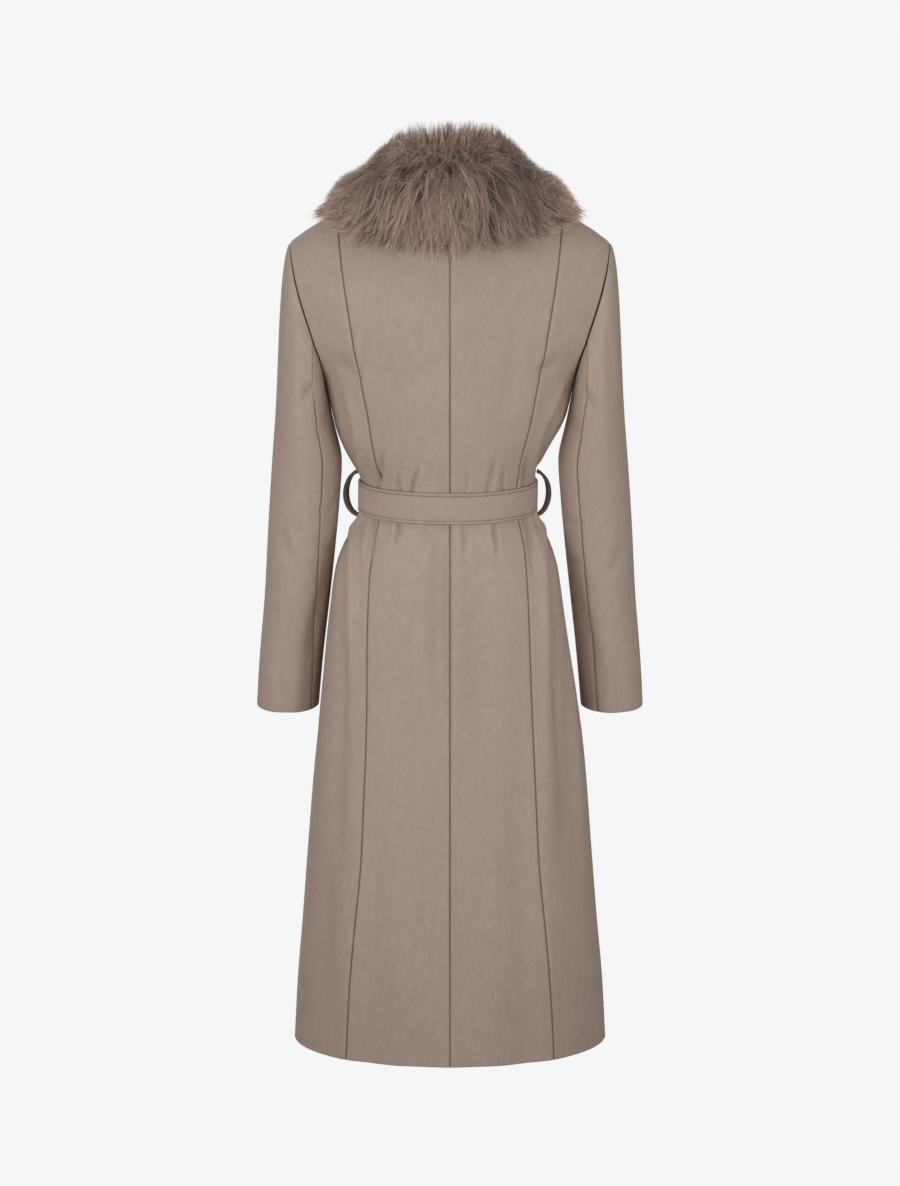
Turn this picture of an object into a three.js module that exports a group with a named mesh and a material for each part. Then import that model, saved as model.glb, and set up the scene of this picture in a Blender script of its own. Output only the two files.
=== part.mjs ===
// Long wool wrap coat with a fur collar, filled out as if worn.
// Millimetres, +Z up. The origin is the middle of the neck base.
// +X is the wearer's left and +Y is the back.
import * as THREE from 'three';

// Cloth and gaps
const WALL = 2.2;
const SEAM_GAP = 0.3;
const LAP_GAP = 1.4;
const LAP_SINKS = { from: 38, over: 32 };
const RESTING_GAP = 0.9;

// Shoulder line
const NECK_HALF_WIDTH = 74;
const NECK_POINT_Y = 2;
const NECK_POINT_Z = 2;
const BACK_NECK_Y = 66;
const BACK_NECK_RISE = 8;
const TIP_HALF_WIDTH = 209;
const TIP_Y = -3;
const SHOULDER_SLOPE = 0.332;
const TIP_DROP = 19.5;
const SHOULDER_ROUNDNESS = 0.92;

// Heights
const BLADE_Z = -185;
const UNDERARM_Z = -246;
const HEM_Z = -1150;
const HEM_RISE_AT_CENTRE_BACK = 5;
const HEM_RISE_STARTS_Z = -900;

// Rows of points down a panel: over the shoulder, beside the armhole, then to the hem
const SHOULDER_ROWS = 6;
const ROW_HEIGHTS = [BLADE_Z, -207, -228, UNDERARM_Z, -272, -300, -328, -352, -372, -396, -419,
  -438, -462, -495, -540, -600, -680, -770, -870, -970, -1065, -1115, HEM_Z];
const UNDERARM_ROW = SHOULDER_ROWS + ROW_HEIGHTS.indexOf(UNDERARM_Z);
const LAST_ROW = SHOULDER_ROWS + ROW_HEIGHTS.length - 1;

// Level sections of the body: half width, depth behind and before the side seams, and roundness
const SECTIONS = [
  { z: BLADE_Z, half: 200, back: 100, front: 103, round: 2.2 },
  { z: UNDERARM_Z, half: 163, back: 99, front: 108, round: 2.2 },
  { z: -272, half: 157, back: 98, front: 107, round: 2.15 },
  { z: -300, half: 149, back: 96, front: 104, round: 2.1 },
  { z: -328, half: 136, back: 94, front: 99, round: 2.05 },
  { z: -352, half: 124, back: 91, front: 94, round: 2.0 },
  { z: -372, half: 115, back: 89, front: 90, round: 2.0 },
  { z: -396, half: 112.5, back: 88, front: 88, round: 2.0 },
  { z: -419, half: 115, back: 90, front: 90, round: 2.0 },
  { z: -438, half: 126, back: 95, front: 95, round: 2.15 },
  { z: -462, half: 137, back: 100, front: 99, round: 2.3 },
  { z: -495, half: 147.5, back: 105, front: 103, round: 2.4 },
  { z: -540, half: 154, back: 110, front: 108, round: 2.45 },
  { z: -600, half: 162, back: 114, front: 113, round: 2.45 },
  { z: -680, half: 172.5, back: 119, front: 120, round: 2.4 },
  { z: -770, half: 182.5, back: 124, front: 127, round: 2.35 },
  { z: -870, half: 190.5, back: 129, front: 134, round: 2.3 },
  { z: -970, half: 198.5, back: 134, front: 140, round: 2.25 },
  { z: -1065, half: 207, back: 138, front: 146, round: 2.05 },
  { z: HEM_Z, half: 212, back: 141, front: 150, round: 1.9 },
];

// How far the waist and hips hang over to the wearer's left at their sides
const SWAY = [
  { z: -286, x: 0 },
  { z: -340, x: 5 },
  { z: -380, x: 2.4 },
  { z: -440, x: 3.2 },
  { z: -490, x: 4.6 },
  { z: -570, x: 4 },
  { z: -640, x: 2 },
  { z: -720, x: 0 },
];

// The armhole: over the shoulder by turn, from the ridge (0) to blade height (1)
const ARMHOLE_TOP = [
  { turn: 0, x: TIP_HALF_WIDTH },
  { turn: 1 / 6, x: 208.5 },
  { turn: 2 / 6, x: 206.5 },
  { turn: 3 / 6, x: 203 },
  { turn: 4 / 6, x: 197 },
  { turn: 5 / 6, x: 188 },
  { turn: 1, x: 177 },
];
// and below blade height, how far out it lies and how far behind or before the side seam
const ARMHOLE_LOW = [
  { z: BLADE_Z, x: 177, back: 54, front: 50 },
  { z: -207, x: 169.5, back: 45, front: 42 },
  { z: -228, x: 165, back: 28, front: 26 },
  { z: UNDERARM_Z, x: 163, back: 0, front: 0 },
];

// The princess seam's distance from the centre seam
const PRINCESS_TOP = { ridge: 145, blade: 124 };
const PRINCESS_SEAM = [
  { z: BLADE_Z, x: 124 },
  { z: UNDERARM_Z, x: 112 },
  { z: -300, x: 103 },
  { z: -372, x: 89 },
  { z: -396, x: 87.5 },
  { z: -419, x: 92 },
  { z: -462, x: 101 },
  { z: -540, x: 105.5 },
  { z: -680, x: 109 },
  { z: -770, x: 113 },
  { z: -870, x: 118 },
  { z: -970, x: 127 },
  { z: -1065, x: 134.5 },
  { z: HEM_Z, x: 139 },
];

// A front's free edge: its share of the shoulder above blade height,
// and its distance from the middle, on its own side, below it
const LAPEL_TOP = { ridge: NECK_HALF_WIDTH / TIP_HALF_WIDTH, blade: 0.13 };
const FRONT_COLUMNS = 11;
const BACK_COLUMNS = 6;
const FRONT_EDGE = [
  { z: BLADE_Z, x: 23 },
  { z: UNDERARM_Z, x: -14 },
  { z: -300, x: -36 },
  { z: -396, x: -62 },
  { z: -680, x: -74 },
  { z: HEM_Z, x: -92 },
];

// Level rings of a sleeve: its inner and outer edge, its middle and half its depth.
// twist is how many columns the left sleeve's seams have turned inwards.
const SLEEVE_CAP_Z = -300;
const SLEEVE_RINGS = [
  { z: SLEEVE_CAP_Z, inner: 152.5, outer: 230.5, middle: -2, depth: 64, twist: 0 },
  { z: -350, inner: 143, outer: 234.5, middle: -5, depth: 62, twist: 0 },
  { z: -403, inner: 146.5, outer: 238.5, middle: -9, depth: 59.5, twist: 0.05 },
  { z: -466, inner: 152.5, outer: 243, middle: -14, depth: 57, twist: 0.2 },
  { z: -533, inner: 160, outer: 247.5, middle: -20, depth: 55, twist: 0.4 },
  { z: -600, inner: 168, outer: 253.5, middle: -27, depth: 53.5, twist: 0.7 },
  { z: -650, inner: 173, outer: 257.5, middle: -32, depth: 52.5, twist: 0.9 },
  { z: -690, inner: 176.5, outer: 260, middle: -36, depth: 52, twist: 1.05 },
];
const CAP_STEPS = [0, 0.12, 0.3, 0.52, 0.76];
const SLEEVE_SEAM_COLUMNS = [6, 12];
// The cap leaves the armhole inwards at the underarm and outwards at the tip, and falls
const CAP_LEAVES = { underarm: -7.5, tip: 40, beside: 34, fall: 45, fallBeside: 40 };
// Near the underarm it starts a little outside the body's panel and not off its edge
const CAP_FOLD = { gap: SEAM_GAP * 1.5, ends: 0.42, over: 0.3, wallEnds: 0.5, wallOver: 0.25 };
const CAP_SLOPE_STEP = 10;

// Belt, loops, knot and tails
const BELT_Z = -396;
const BELT_WIDTH = 42;
const BELT_THICK = 3.6;
const BELT_GAP = 0.8;
const BELT_EDGE = 0.8;
const BELT_STEPS = 52;
const LOOP_STEPS = 14;
const LOOP = {
  z: -393, rise: 27.5, reach: 11.5, thick: 4.4, width: 12, turned: 0.2, sunk: 5, from: 0.07, to: 0.93,
};
const KNOT = { x: 16, width: 46, height: 50, depth: 26, round: 2.6, square: 0.8, cut: 0.94 };
const TAILS = [
  { name: 'belt_tail_left', x: 30, lean: 0.09, length: 345 },
  { name: 'belt_tail_right', x: 1, lean: -0.13, length: 300 },
];
const TAIL_WIDTH = 42;
const TAIL_NARROW = 26;
const TAIL_WIDENS_OVER = 120;
const TAIL_STANDS_AT_KNOT = 9;
const TAIL_STEPS = 12;

// Stations of the fur collar, from the centre back (0) round to one front end.
// share and row give its neck edge and its outer edge on the torso, rows before the shoulder
// line being negative. stand, belly and lip are how far the fur reaches off the cloth at its
// neck edge, between, and at its outer edge.
const COLLAR_STATIONS = [
  { at: 0, share: 0, row: 0, edgeShare: 0, edgeRow: 3.5, stand: 86, belly: 71, lip: 40 },
  { at: 1, share: 0.12, row: 0, edgeShare: 0.2, edgeRow: 3.47, stand: 88, belly: 71, lip: 40 },
  { at: 2, share: 0.23, row: 0, edgeShare: 0.4, edgeRow: 3.25, stand: 88, belly: 70, lip: 39 },
  { at: 3, share: 0.31, row: 0, edgeShare: 0.57, edgeRow: 2.72, stand: 86, belly: 63, lip: 35 },
  { at: 4, share: 0.345, row: 0, edgeShare: 0.72, edgeRow: 1.7, stand: 82, belly: 51, lip: 29 },
  { at: 5, share: 0.355, row: 0, edgeShare: 0.8, edgeRow: 0.6, stand: 76, belly: 45, lip: 21 },
  { at: 6, share: 0.355, row: -0.35, edgeShare: 0.81, edgeRow: -0.7, stand: 69, belly: 43, lip: 20 },
  { at: 7, share: 0.345, row: -1, edgeShare: 0.785, edgeRow: -2, stand: 60, belly: 42, lip: 22 },
  { at: 8, share: 0.325, row: -2, edgeShare: 0.74, edgeRow: -3.2, stand: 52, belly: 43, lip: 25 },
  { at: 9, share: 0.295, row: -3, edgeShare: 0.67, edgeRow: -4.4, stand: 47, belly: 45, lip: 29 },
  { at: 10, share: 0.26, row: -4, edgeShare: 0.615, edgeRow: -5.5, stand: 43, belly: 42, lip: 28 },
  { at: 11, share: 0.215, row: -5, edgeShare: 0.535, edgeRow: -6.5, stand: 40, belly: 39, lip: 27 },
  { at: 12, share: 0.165, row: -6, edgeShare: 0.42, edgeRow: -7.5, stand: 36, belly: 35, lip: 24 },
  { at: 13, share: 0.125, row: -7, edgeShare: 0.27, edgeRow: -8.2, stand: 30, belly: 29, lip: 20 },
  { at: 14, share: 0.115, row: -7.7, edgeShare: 0.16, edgeRow: -8.35, stand: 21, belly: 20, lip: 14 },
];
const COLLAR_RINGS_A_STATION = 3;
const COLLAR_ACROSS = 6;
const FUR_GAP = 2;
const STAND_LEAN = -0.12;
// The fur's way up turns from upright to the cloth's own outward direction across it,
// and within so many rows down the front
const FUR_TURNS = { across: 1.1, rows: 4 };

const WOOL = { color: 0xa18f83, roughness: 0.95, metalness: 0 };
const FUR = { color: 0x78665e, roughness: 1, metalness: 0 };

const mix = (a, b, t) => a + (b - a) * t;
const clamp01 = (t) => Math.min(1, Math.max(0, t));
const ease = (t) => clamp01(t) ** 2 * (3 - 2 * clamp01(t));
const signedPower = (value, power) => Math.sign(value) * Math.abs(value) ** power;

// A smooth curve through one column of a table, with no swing past its rows
function through(rows, key, column, at) {
  const falls = rows[0][key] > rows[rows.length - 1][key];
  const from = (row) => (falls ? -row[key] : row[key]);
  const where = falls ? -at : at;
  const last = rows.length - 2;
  let i = 0;
  while (i < last && from(rows[i + 1]) <= where) i += 1;
  const slope = (k) => (rows[k + 1][column] - rows[k][column]) / (from(rows[k + 1]) - from(rows[k]));
  const tangent = (k) => {
    if (k === 0) return slope(0);
    if (k === rows.length - 1) return slope(last);
    const [before, after] = [slope(k - 1), slope(k)];
    return before * after <= 0 ? 0 : (2 * before * after) / (before + after);
  };
  const step = from(rows[i + 1]) - from(rows[i]);
  const t = clamp01((where - from(rows[i])) / step);
  return (2 * t ** 3 - 3 * t ** 2 + 1) * rows[i][column] + (t ** 3 - 2 * t ** 2 + t) * step * tangent(i)
    + (3 * t ** 2 - 2 * t ** 3) * rows[i + 1][column] + (t ** 3 - t ** 2) * step * tangent(i + 1);
}

// The height of a row, which may be between two rows of the table
function rowHeight(row) {
  const low = Math.min(Math.floor(row - SHOULDER_ROWS), ROW_HEIGHTS.length - 2);
  return mix(ROW_HEIGHTS[low], ROW_HEIGHTS[low + 1], row - SHOULDER_ROWS - low);
}

// One level section below the shoulder. Beside the armhole, its width is such
// that the section passes through the armhole's edge.
function section(face, z) {
  const depth = through(SECTIONS, 'z', face, z);
  const round = through(SECTIONS, 'z', 'round', z);
  if (z < UNDERARM_Z) {
    const half = through(SECTIONS, 'z', 'half', z);
    return { half, depth, round, edge: half };
  }
  const edge = through(ARMHOLE_LOW, 'z', 'x', z);
  const off = through(ARMHOLE_LOW, 'z', face, z);
  const half = edge / (1 - (off / depth) ** round) ** (1 / round);
  return { half, depth, round, edge };
}

// The shoulder ridge and, nearer the middle than the neck point, the back neckline
function ridge(face, share) {
  const x = Math.abs(share) * TIP_HALF_WIDTH;
  if (x < NECK_HALF_WIDTH) {
    const open = face === 'back' ? Math.cos((Math.PI / 2) * (x / NECK_HALF_WIDTH)) : 0;
    return { y: mix(NECK_POINT_Y, BACK_NECK_Y, open), z: NECK_POINT_Z + BACK_NECK_RISE * open };
  }
  const out = (x - NECK_HALF_WIDTH) / (TIP_HALF_WIDTH - NECK_HALF_WIDTH);
  const z = NECK_POINT_Z - SHOULDER_SLOPE * (x - NECK_HALF_WIDTH) - TIP_DROP * out ** 4;
  return { y: mix(NECK_POINT_Y, TIP_Y, out), z };
}

// A point of the coat's outer face. turn runs from the centre back (0) round the wearer's
// left side (90 degrees) to the centre front (180) and past it, row from the shoulder to the hem.
function torso(turn, row) {
  const face = turn <= Math.PI / 2 ? 'back' : 'front';
  const angle = face === 'back' ? turn : Math.PI - turn;
  const side = face === 'back' ? 1 : -1;
  const height = row < SHOULDER_ROWS ? BLADE_Z : rowHeight(row);
  const { half, depth, round, edge } = section(face, height);
  const x = half * signedPower(Math.sin(angle), 2 / round);
  const y = side * depth * Math.abs(Math.cos(angle)) ** (2 / round);
  if (row >= SHOULDER_ROWS) {
    const rise = face === 'back' ? HEM_RISE_AT_CENTRE_BACK * Math.cos(angle) ** 2 : 0;
    const low = ease((HEM_RISE_STARTS_Z - height) / (HEM_RISE_STARTS_Z - HEM_Z));
    return new THREE.Vector3(x, y, height + rise * low);
  }
  const share = x / edge;
  const over = row / SHOULDER_ROWS;
  const top = ridge(face, share);
  const reach = Math.sin((Math.PI / 2) * over) ** SHOULDER_ROUNDNESS;
  const drop = Math.cos((Math.PI / 2) * over) ** SHOULDER_ROUNDNESS;
  const out = through(ARMHOLE_TOP, 'turn', 'x', over);
  return new THREE.Vector3(share * out, mix(top.y, y, reach), mix(BLADE_Z, top.z, drop));
}

// The outward direction at a point of the torso
function torsoNormal(turn, row) {
  const [turnStep, rowStep] = [0.012, 0.03];
  const across = torso(turn + turnStep, row).sub(torso(turn - turnStep, row));
  const up = Math.max(row - rowStep, 0);
  const down = torso(turn, Math.min(row + rowStep, LAST_ROW)).sub(torso(turn, up));
  return across.cross(down).normalize();
}

// The turn of a place given by its distance from the middle, or by its share of the row's edge
function turnAt(face, x, row) {
  const { half, round } = section(face, row < SHOULDER_ROWS ? BLADE_Z : rowHeight(row));
  const angle = Math.asin(signedPower(Math.max(-1, Math.min(1, x / half)), round / 2));
  return face === 'back' ? angle : Math.PI - angle;
}
function rowEdge(face, row) {
  return section(face, row < SHOULDER_ROWS ? BLADE_Z : rowHeight(row)).edge;
}
const turnOfShare = (face, share, row) => turnAt(face, share * rowEdge(face, row), row);
const sideTurn = (face, row) => (row >= UNDERARM_ROW ? Math.PI / 2 : turnOfShare(face, 1, row));

function princessTurn(row) {
  if (row >= SHOULDER_ROWS) {
    return turnAt('back', through(PRINCESS_SEAM, 'z', 'x', rowHeight(row)), row);
  }
  const blade = PRINCESS_TOP.blade / rowEdge('back', row);
  return turnOfShare('back', mix(PRINCESS_TOP.ridge / TIP_HALF_WIDTH, blade, row / SHOULDER_ROWS), row);
}

function frontEdgeX(row) {
  return through(FRONT_EDGE, 'z', 'x', rowHeight(row));
}
function frontEdgeTurn(row) {
  if (row >= SHOULDER_ROWS) return turnAt('front', frontEdgeX(row), row);
  return turnOfShare('front', mix(LAPEL_TOP.ridge, LAPEL_TOP.blade, row / SHOULDER_ROWS), row);
}

// A closed wall over a grid of points. Each point has a place and an inner place.
// The grid's columns and rows turn so that columns cross rows points outwards.
function wall(grid, flipped) {
  const rows = grid.length;
  const columns = grid[0].length;
  const places = [];
  const layers = ['outer', 'inner'];
  layers.forEach((layer) => grid.flat().forEach((point) => places.push(...point[layer].toArray())));
  const faces = [];
  const quad = (a, b, c, d) => faces.push(...(flipped ? [a, c, b, a, d, c] : [a, b, c, a, c, d]));
  const out = (i, j) => i * columns + j;
  const inn = (i, j) => rows * columns + i * columns + j;
  for (let i = 0; i < rows - 1; i += 1) {
    for (let j = 0; j < columns - 1; j += 1) {
      quad(out(i, j), out(i, j + 1), out(i + 1, j + 1), out(i + 1, j));
      quad(inn(i, j), inn(i + 1, j), inn(i + 1, j + 1), inn(i, j + 1));
    }
    quad(out(i, 0), out(i + 1, 0), inn(i + 1, 0), inn(i, 0));
    quad(out(i, columns - 1), inn(i, columns - 1), inn(i + 1, columns - 1), out(i + 1, columns - 1));
  }
  for (let j = 0; j < columns - 1; j += 1) {
    quad(out(0, j), inn(0, j), inn(0, j + 1), out(0, j + 1));
    quad(out(rows - 1, j), out(rows - 1, j + 1), inn(rows - 1, j + 1), inn(rows - 1, j));
  }
  return geometry(places, faces);
}

function geometry(places, faces) {
  const shape = new THREE.BufferGeometry();
  shape.setAttribute('position', new THREE.Float32BufferAttribute(places, 3));
  shape.setIndex(faces);
  shape.computeVertexNormals();
  return shape;
}

// A closed tube of rings, each ring a list of points, closed on itself or capped at both ends
function tube(rings, flipped, closed) {
  const size = rings[0].length;
  const places = rings.flat().flatMap((point) => point.toArray());
  const faces = [];
  const triangle = (a, b, c) => faces.push(...(flipped ? [a, c, b] : [a, b, c]));
  const spans = closed ? rings.length : rings.length - 1;
  for (let i = 0; i < spans; i += 1) {
    const next = (i + 1) % rings.length;
    for (let j = 0; j < size; j += 1) {
      const beside = (j + 1) % size;
      triangle(i * size + j, i * size + beside, next * size + beside);
      triangle(i * size + j, next * size + beside, next * size + j);
    }
  }
  if (closed) return geometry(places, faces);
  [0, rings.length - 1].forEach((ring) => {
    const middle = rings[ring].reduce((sum, point) => sum.add(point), new THREE.Vector3());
    places.push(...middle.divideScalar(size).toArray());
    const hub = places.length / 3 - 1;
    for (let j = 0; j < size; j += 1) {
      const [a, b] = [ring * size + j, ring * size + ((j + 1) % size)];
      if (ring === 0) triangle(b, a, hub);
      else triangle(a, b, hub);
    }
  });
  return geometry(places, faces);
}

const mirror = (point) => new THREE.Vector3(-point.x, point.y, point.z);

// A small turn, to find directions along a row
const SIDE_STEP = 0.01;

// A panel between two seams. from and to give the turn of its first and last column,
// which draw back by half the seam's gap, and sink is how far it lies under the panel over it.
function panel({ from, to, columns, right, sink = () => 0 }) {
  const grid = [];
  for (let row = 0; row <= LAST_ROW; row += 1) {
    const [first, last] = [from(row), to(row)];
    grid.push(Array.from({ length: columns + 1 }, (_, column) => {
      const turn = mix(first, last, column / columns);
      const normal = torsoNormal(turn, row);
      const outer = torso(turn, row);
      const along = torso(turn + SIDE_STEP, row).sub(torso(turn - SIDE_STEP, row)).normalize();
      if (column === 0 && from.seam) outer.addScaledVector(along, SEAM_GAP / 2);
      if (column === columns && to.seam) outer.addScaledVector(along, -SEAM_GAP / 2);
      if (row === 0) outer.y += (turn <= Math.PI / 2 ? 1 : -1) * (SEAM_GAP / 2);
      outer.addScaledVector(normal, -sink(outer.x, row));
      const inner = outer.clone().addScaledVector(normal, -WALL);
      return right ? { outer: mirror(outer), inner: mirror(inner) } : { outer, inner };
    }));
  }
  return wall(grid, right);
}

// A seam between two panels draws both of them back. A free edge or the armhole doesn't.
const seam = (turn) => Object.assign((row) => turn(row), { seam: true });
const centreBack = seam(() => 0);
const princess = seam(princessTurn);
const backSide = (row) => sideTurn('back', row) - (row >= UNDERARM_ROW ? sideGap(row) : 0);
const frontSide = (row) => sideTurn('front', row) + (row >= UNDERARM_ROW ? sideGap(row) : 0);

// Half the seam's gap at the side seam, as a turn
function sideGap(row) {
  const side = Math.PI / 2;
  const length = torso(side + SIDE_STEP, row).distanceTo(torso(side - SIDE_STEP, row));
  return (SEAM_GAP / 2) * ((2 * SIDE_STEP) / length);
}

// The left front lies under the right one: it sinks by a wall and the lap's gap
function underLap(x, row) {
  if (row < SHOULDER_ROWS) return 0;
  const overEdge = -frontEdgeX(row);
  return (WALL + LAP_GAP) * ease((overEdge + LAP_SINKS.from - x) / LAP_SINKS.over);
}

// The sleeve's columns start at the armhole's points: down the back from the shoulder
// tip to the underarm, then up the front. Each has the place, outward direction and way off the edge.
function armholeLoop() {
  const places = [];
  for (let column = 0; column <= 2 * UNDERARM_ROW; column += 1) {
    const face = column <= UNDERARM_ROW ? 'back' : 'front';
    const row = face === 'back' ? column : 2 * UNDERARM_ROW - column;
    const turn = sideTurn(face, row);
    places.push({ place: torso(turn, row), normal: torsoNormal(turn, row), row, face });
  }
  const count = places.length;
  places.forEach((point, k) => {
    const next = places[Math.min(k + 1, count - 1)].place;
    const before = places[Math.max(k - 1, 0)].place;
    point.off = next.clone().sub(before).cross(point.normal).normalize();
  });
  return places;
}

// A point of a level ring of a sleeve. Column 0 is at the outer side and 9 at the inner one.
function sleeveRing(z, column, twisted) {
  const ring = (key) => through(SLEEVE_RINGS, 'z', key, z);
  const turned = (column + (twisted ? ring('twist') : 0)) / UNDERARM_ROW;
  const angle = Math.PI * Math.abs(1 - turned);
  const behind = turned <= 1 ? 1 : -1;
  const middle = (ring('inner') + ring('outer')) / 2;
  const half = (ring('outer') - ring('inner')) / 2;
  const y = ring('middle') + behind * ring('depth') * Math.sin(angle);
  return new THREE.Vector3(middle - half * Math.cos(angle), y, z);
}

// Where and how the cap leaves the armhole at one of its points
function capStart({ place, off, normal }, column) {
  const angle = Math.PI * Math.abs(1 - column / UNDERARM_ROW);
  const behind = column <= UNDERARM_ROW ? 1 : -1;
  const fold = ease((CAP_FOLD.ends - angle / Math.PI) / CAP_FOLD.over);
  const from = place.clone().addScaledVector(off, SEAM_GAP * (1 - fold));
  from.addScaledVector(normal, CAP_FOLD.gap * fold);
  const outward = (1 - Math.cos(angle)) / 2;
  const leave = new THREE.Vector3(
    mix(CAP_LEAVES.underarm, CAP_LEAVES.tip, outward),
    CAP_LEAVES.beside * behind * Math.sin(angle),
    -CAP_LEAVES.fall - CAP_LEAVES.fallBeside * Math.sin(angle),
  );
  return { from, leave };
}

// A whole left sleeve as a grid: rows from the armhole to the cuff, columns round it
function sleeveGrid(twisted) {
  const loop = armholeLoop();
  const rows = [...CAP_STEPS.map((step) => ({ step })), ...SLEEVE_RINGS.map(({ z }) => ({ z }))];
  const places = rows.map(({ step, z }) => loop.map((start, column) => {
    if (z !== undefined) return sleeveRing(z, column, twisted);
    const { from, leave } = capStart(start, column);
    const to = sleeveRing(SLEEVE_CAP_Z, column, twisted);
    const arrive = sleeveRing(SLEEVE_CAP_Z - CAP_SLOPE_STEP, column, twisted).sub(to)
      .multiplyScalar((from.z - SLEEVE_CAP_Z) / CAP_SLOPE_STEP);
    const t = step;
    return from.multiplyScalar(2 * t ** 3 - 3 * t ** 2 + 1).addScaledVector(leave, t ** 3 - 2 * t ** 2 + t)
      .addScaledVector(to, 3 * t ** 2 - 2 * t ** 3).addScaledVector(arrive, t ** 3 - t ** 2);
  }));
  const turns = loop.length - 1;
  return places.map((row, i) => row.map((outer, k) => {
    const beside = row[(k + 1) % turns].clone().sub(row[(k + turns - 1) % turns]);
    const below = places[Math.min(i + 1, places.length - 1)][k];
    const above = places[Math.max(i - 1, 0)][k];
    const normal = below.clone().sub(above).cross(beside).normalize();
    if (i === 0) {
      const fold = ease((CAP_FOLD.wallEnds - Math.abs(1 - k / UNDERARM_ROW)) / CAP_FOLD.wallOver);
      normal.lerp(loop[k].normal, 1 - fold).normalize();
    }
    return { outer, normal, beside: beside.normalize() };
  }));
}

// Some columns of the sleeve as one cut piece, drawn back at both seams
function sleevePiece(grid, columns, right) {
  const last = columns.length - 1;
  const cut = grid.map((row) => columns.map((column, j) => {
    const { outer, normal, beside } = row[column];
    const place = outer.clone();
    if (j === 0) place.addScaledVector(beside, SEAM_GAP / 2);
    if (j === last) place.addScaledVector(beside, -SEAM_GAP / 2);
    const inner = place.clone().addScaledVector(normal, -WALL);
    return right ? { outer: mirror(place), inner: mirror(inner) } : { outer: place, inner };
  }));
  return wall(cut, !right);
}

// A band round the waist: the torso's level ring, moved out
function belt() {
  const [top, bottom] = [BELT_Z + BELT_WIDTH / 2, BELT_Z - BELT_WIDTH / 2];
  const face = BELT_GAP + BELT_THICK;
  const profile = [
    { off: BELT_GAP, z: top }, { off: face - BELT_EDGE, z: top },
    { off: face, z: top - BELT_EDGE }, { off: face, z: bottom + BELT_EDGE },
    { off: face - BELT_EDGE, z: bottom }, { off: BELT_GAP, z: bottom },
  ];
  const { half } = section('back', BELT_Z);
  const waist = Math.max(...[top, BELT_Z, bottom].map((z) => section('back', z).half)) - half;
  const row = SHOULDER_ROWS + ROW_HEIGHTS.indexOf(BELT_Z);
  const rings = Array.from({ length: BELT_STEPS }, (_, step) => {
    const whole = (2 * Math.PI * step) / BELT_STEPS;
    const right = whole > Math.PI;
    const turn = right ? 2 * Math.PI - whole : whole;
    const place = torso(turn, row);
    const out = torsoNormal(turn, row).setZ(0).normalize();
    return profile.map(({ off, z }) => {
      const point = place.clone().addScaledVector(out, off + waist);
      point.z = z;
      return right ? mirror(point) : point;
    });
  });
  return tube(rings, true, true);
}

// How far the belt's face stands from the middle at the front
function beltFrontY() {
  const points = belt().getAttribute('position');
  let least = 0;
  for (let i = 0; i < points.count; i += 1) least = Math.min(least, points.getY(i));
  return least;
}

// A strip that arches off the side seam over the belt, its back edge turned outwards
function beltLoop(right) {
  const top = LOOP.z + LOOP.rise + LOOP.thick;
  const side = section('back', top).half + RESTING_GAP - LOOP.sunk;
  const reach = LOOP.reach + LOOP.sunk;
  const wide = LOOP.width / 2;
  const rings = Array.from({ length: LOOP_STEPS + 1 }, (_, step) => {
    const angle = Math.PI * mix(LOOP.from, LOOP.to, step / LOOP_STEPS);
    const [across, along] = [Math.sin(angle), Math.cos(angle)];
    const middle = new THREE.Vector3(side + reach * across, 0, LOOP.z + LOOP.rise * along);
    const out = new THREE.Vector3(across / LOOP.reach, 0, along / LOOP.rise).normalize();
    const corner = (thick, beside) => {
      const point = middle.clone().addScaledVector(out, thick);
      point.add(new THREE.Vector3(LOOP.turned * beside * across, beside, 0));
      return right ? mirror(point) : point;
    };
    return [corner(0, -wide), corner(LOOP.thick, -wide), corner(LOOP.thick, wide), corner(0, wide)];
  });
  return tube(rings, !right, false);
}

// The knot: a squared ball, cut flat where the belt's tails leave it
function beltKnot() {
  const [levels, spokes] = [9, 16];
  const middle = beltFrontY() - RESTING_GAP - KNOT.depth / 2;
  const rings = Array.from({ length: levels }, (_, level) => {
    const lift = mix(-KNOT.cut, KNOT.cut, level / (levels - 1));
    const size = (1 - Math.abs(lift) ** KNOT.round) ** (1 / KNOT.round) / 2;
    return Array.from({ length: spokes }, (_unused, spoke) => {
      const angle = (2 * Math.PI * spoke) / spokes;
      return new THREE.Vector3(
        KNOT.x + KNOT.width * size * signedPower(Math.cos(angle), KNOT.square),
        middle + KNOT.depth * size * signedPower(Math.sin(angle), KNOT.square),
        BELT_Z + (KNOT.height / 2) * lift,
      );
    });
  });
  return tube(rings, false, false);
}

// A tail of the belt, laid on the right front from the knot down
function beltTail({ x, lean, length }) {
  const top = BELT_Z - (KNOT.height / 2) * KNOT.cut - RESTING_GAP;
  const grid = Array.from({ length: TAIL_STEPS + 1 }, (_, step) => {
    const down = (length * step) / TAIL_STEPS;
    const width = mix(TAIL_NARROW, TAIL_WIDTH, ease(down / TAIL_WIDENS_OVER));
    const row = rowOfHeight(top - down);
    return Array.from({ length: 4 }, (_unused, column) => {
      const place = x + lean * down + width * (column / 3 - 0.5);
      const turn = turnAt('front', -place, row);
      const point = mirror(torso(turn, row));
      const normal = mirror(torsoNormal(turn, row)).setZ(0).normalize();
      const stand = mix(TAIL_STANDS_AT_KNOT, RESTING_GAP, ease(down / TAIL_WIDENS_OVER));
      const inner = point.clone().addScaledVector(normal, stand);
      return { outer: point.addScaledVector(normal, stand + BELT_THICK), inner };
    });
  });
  return wall(grid, true);
}

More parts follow.
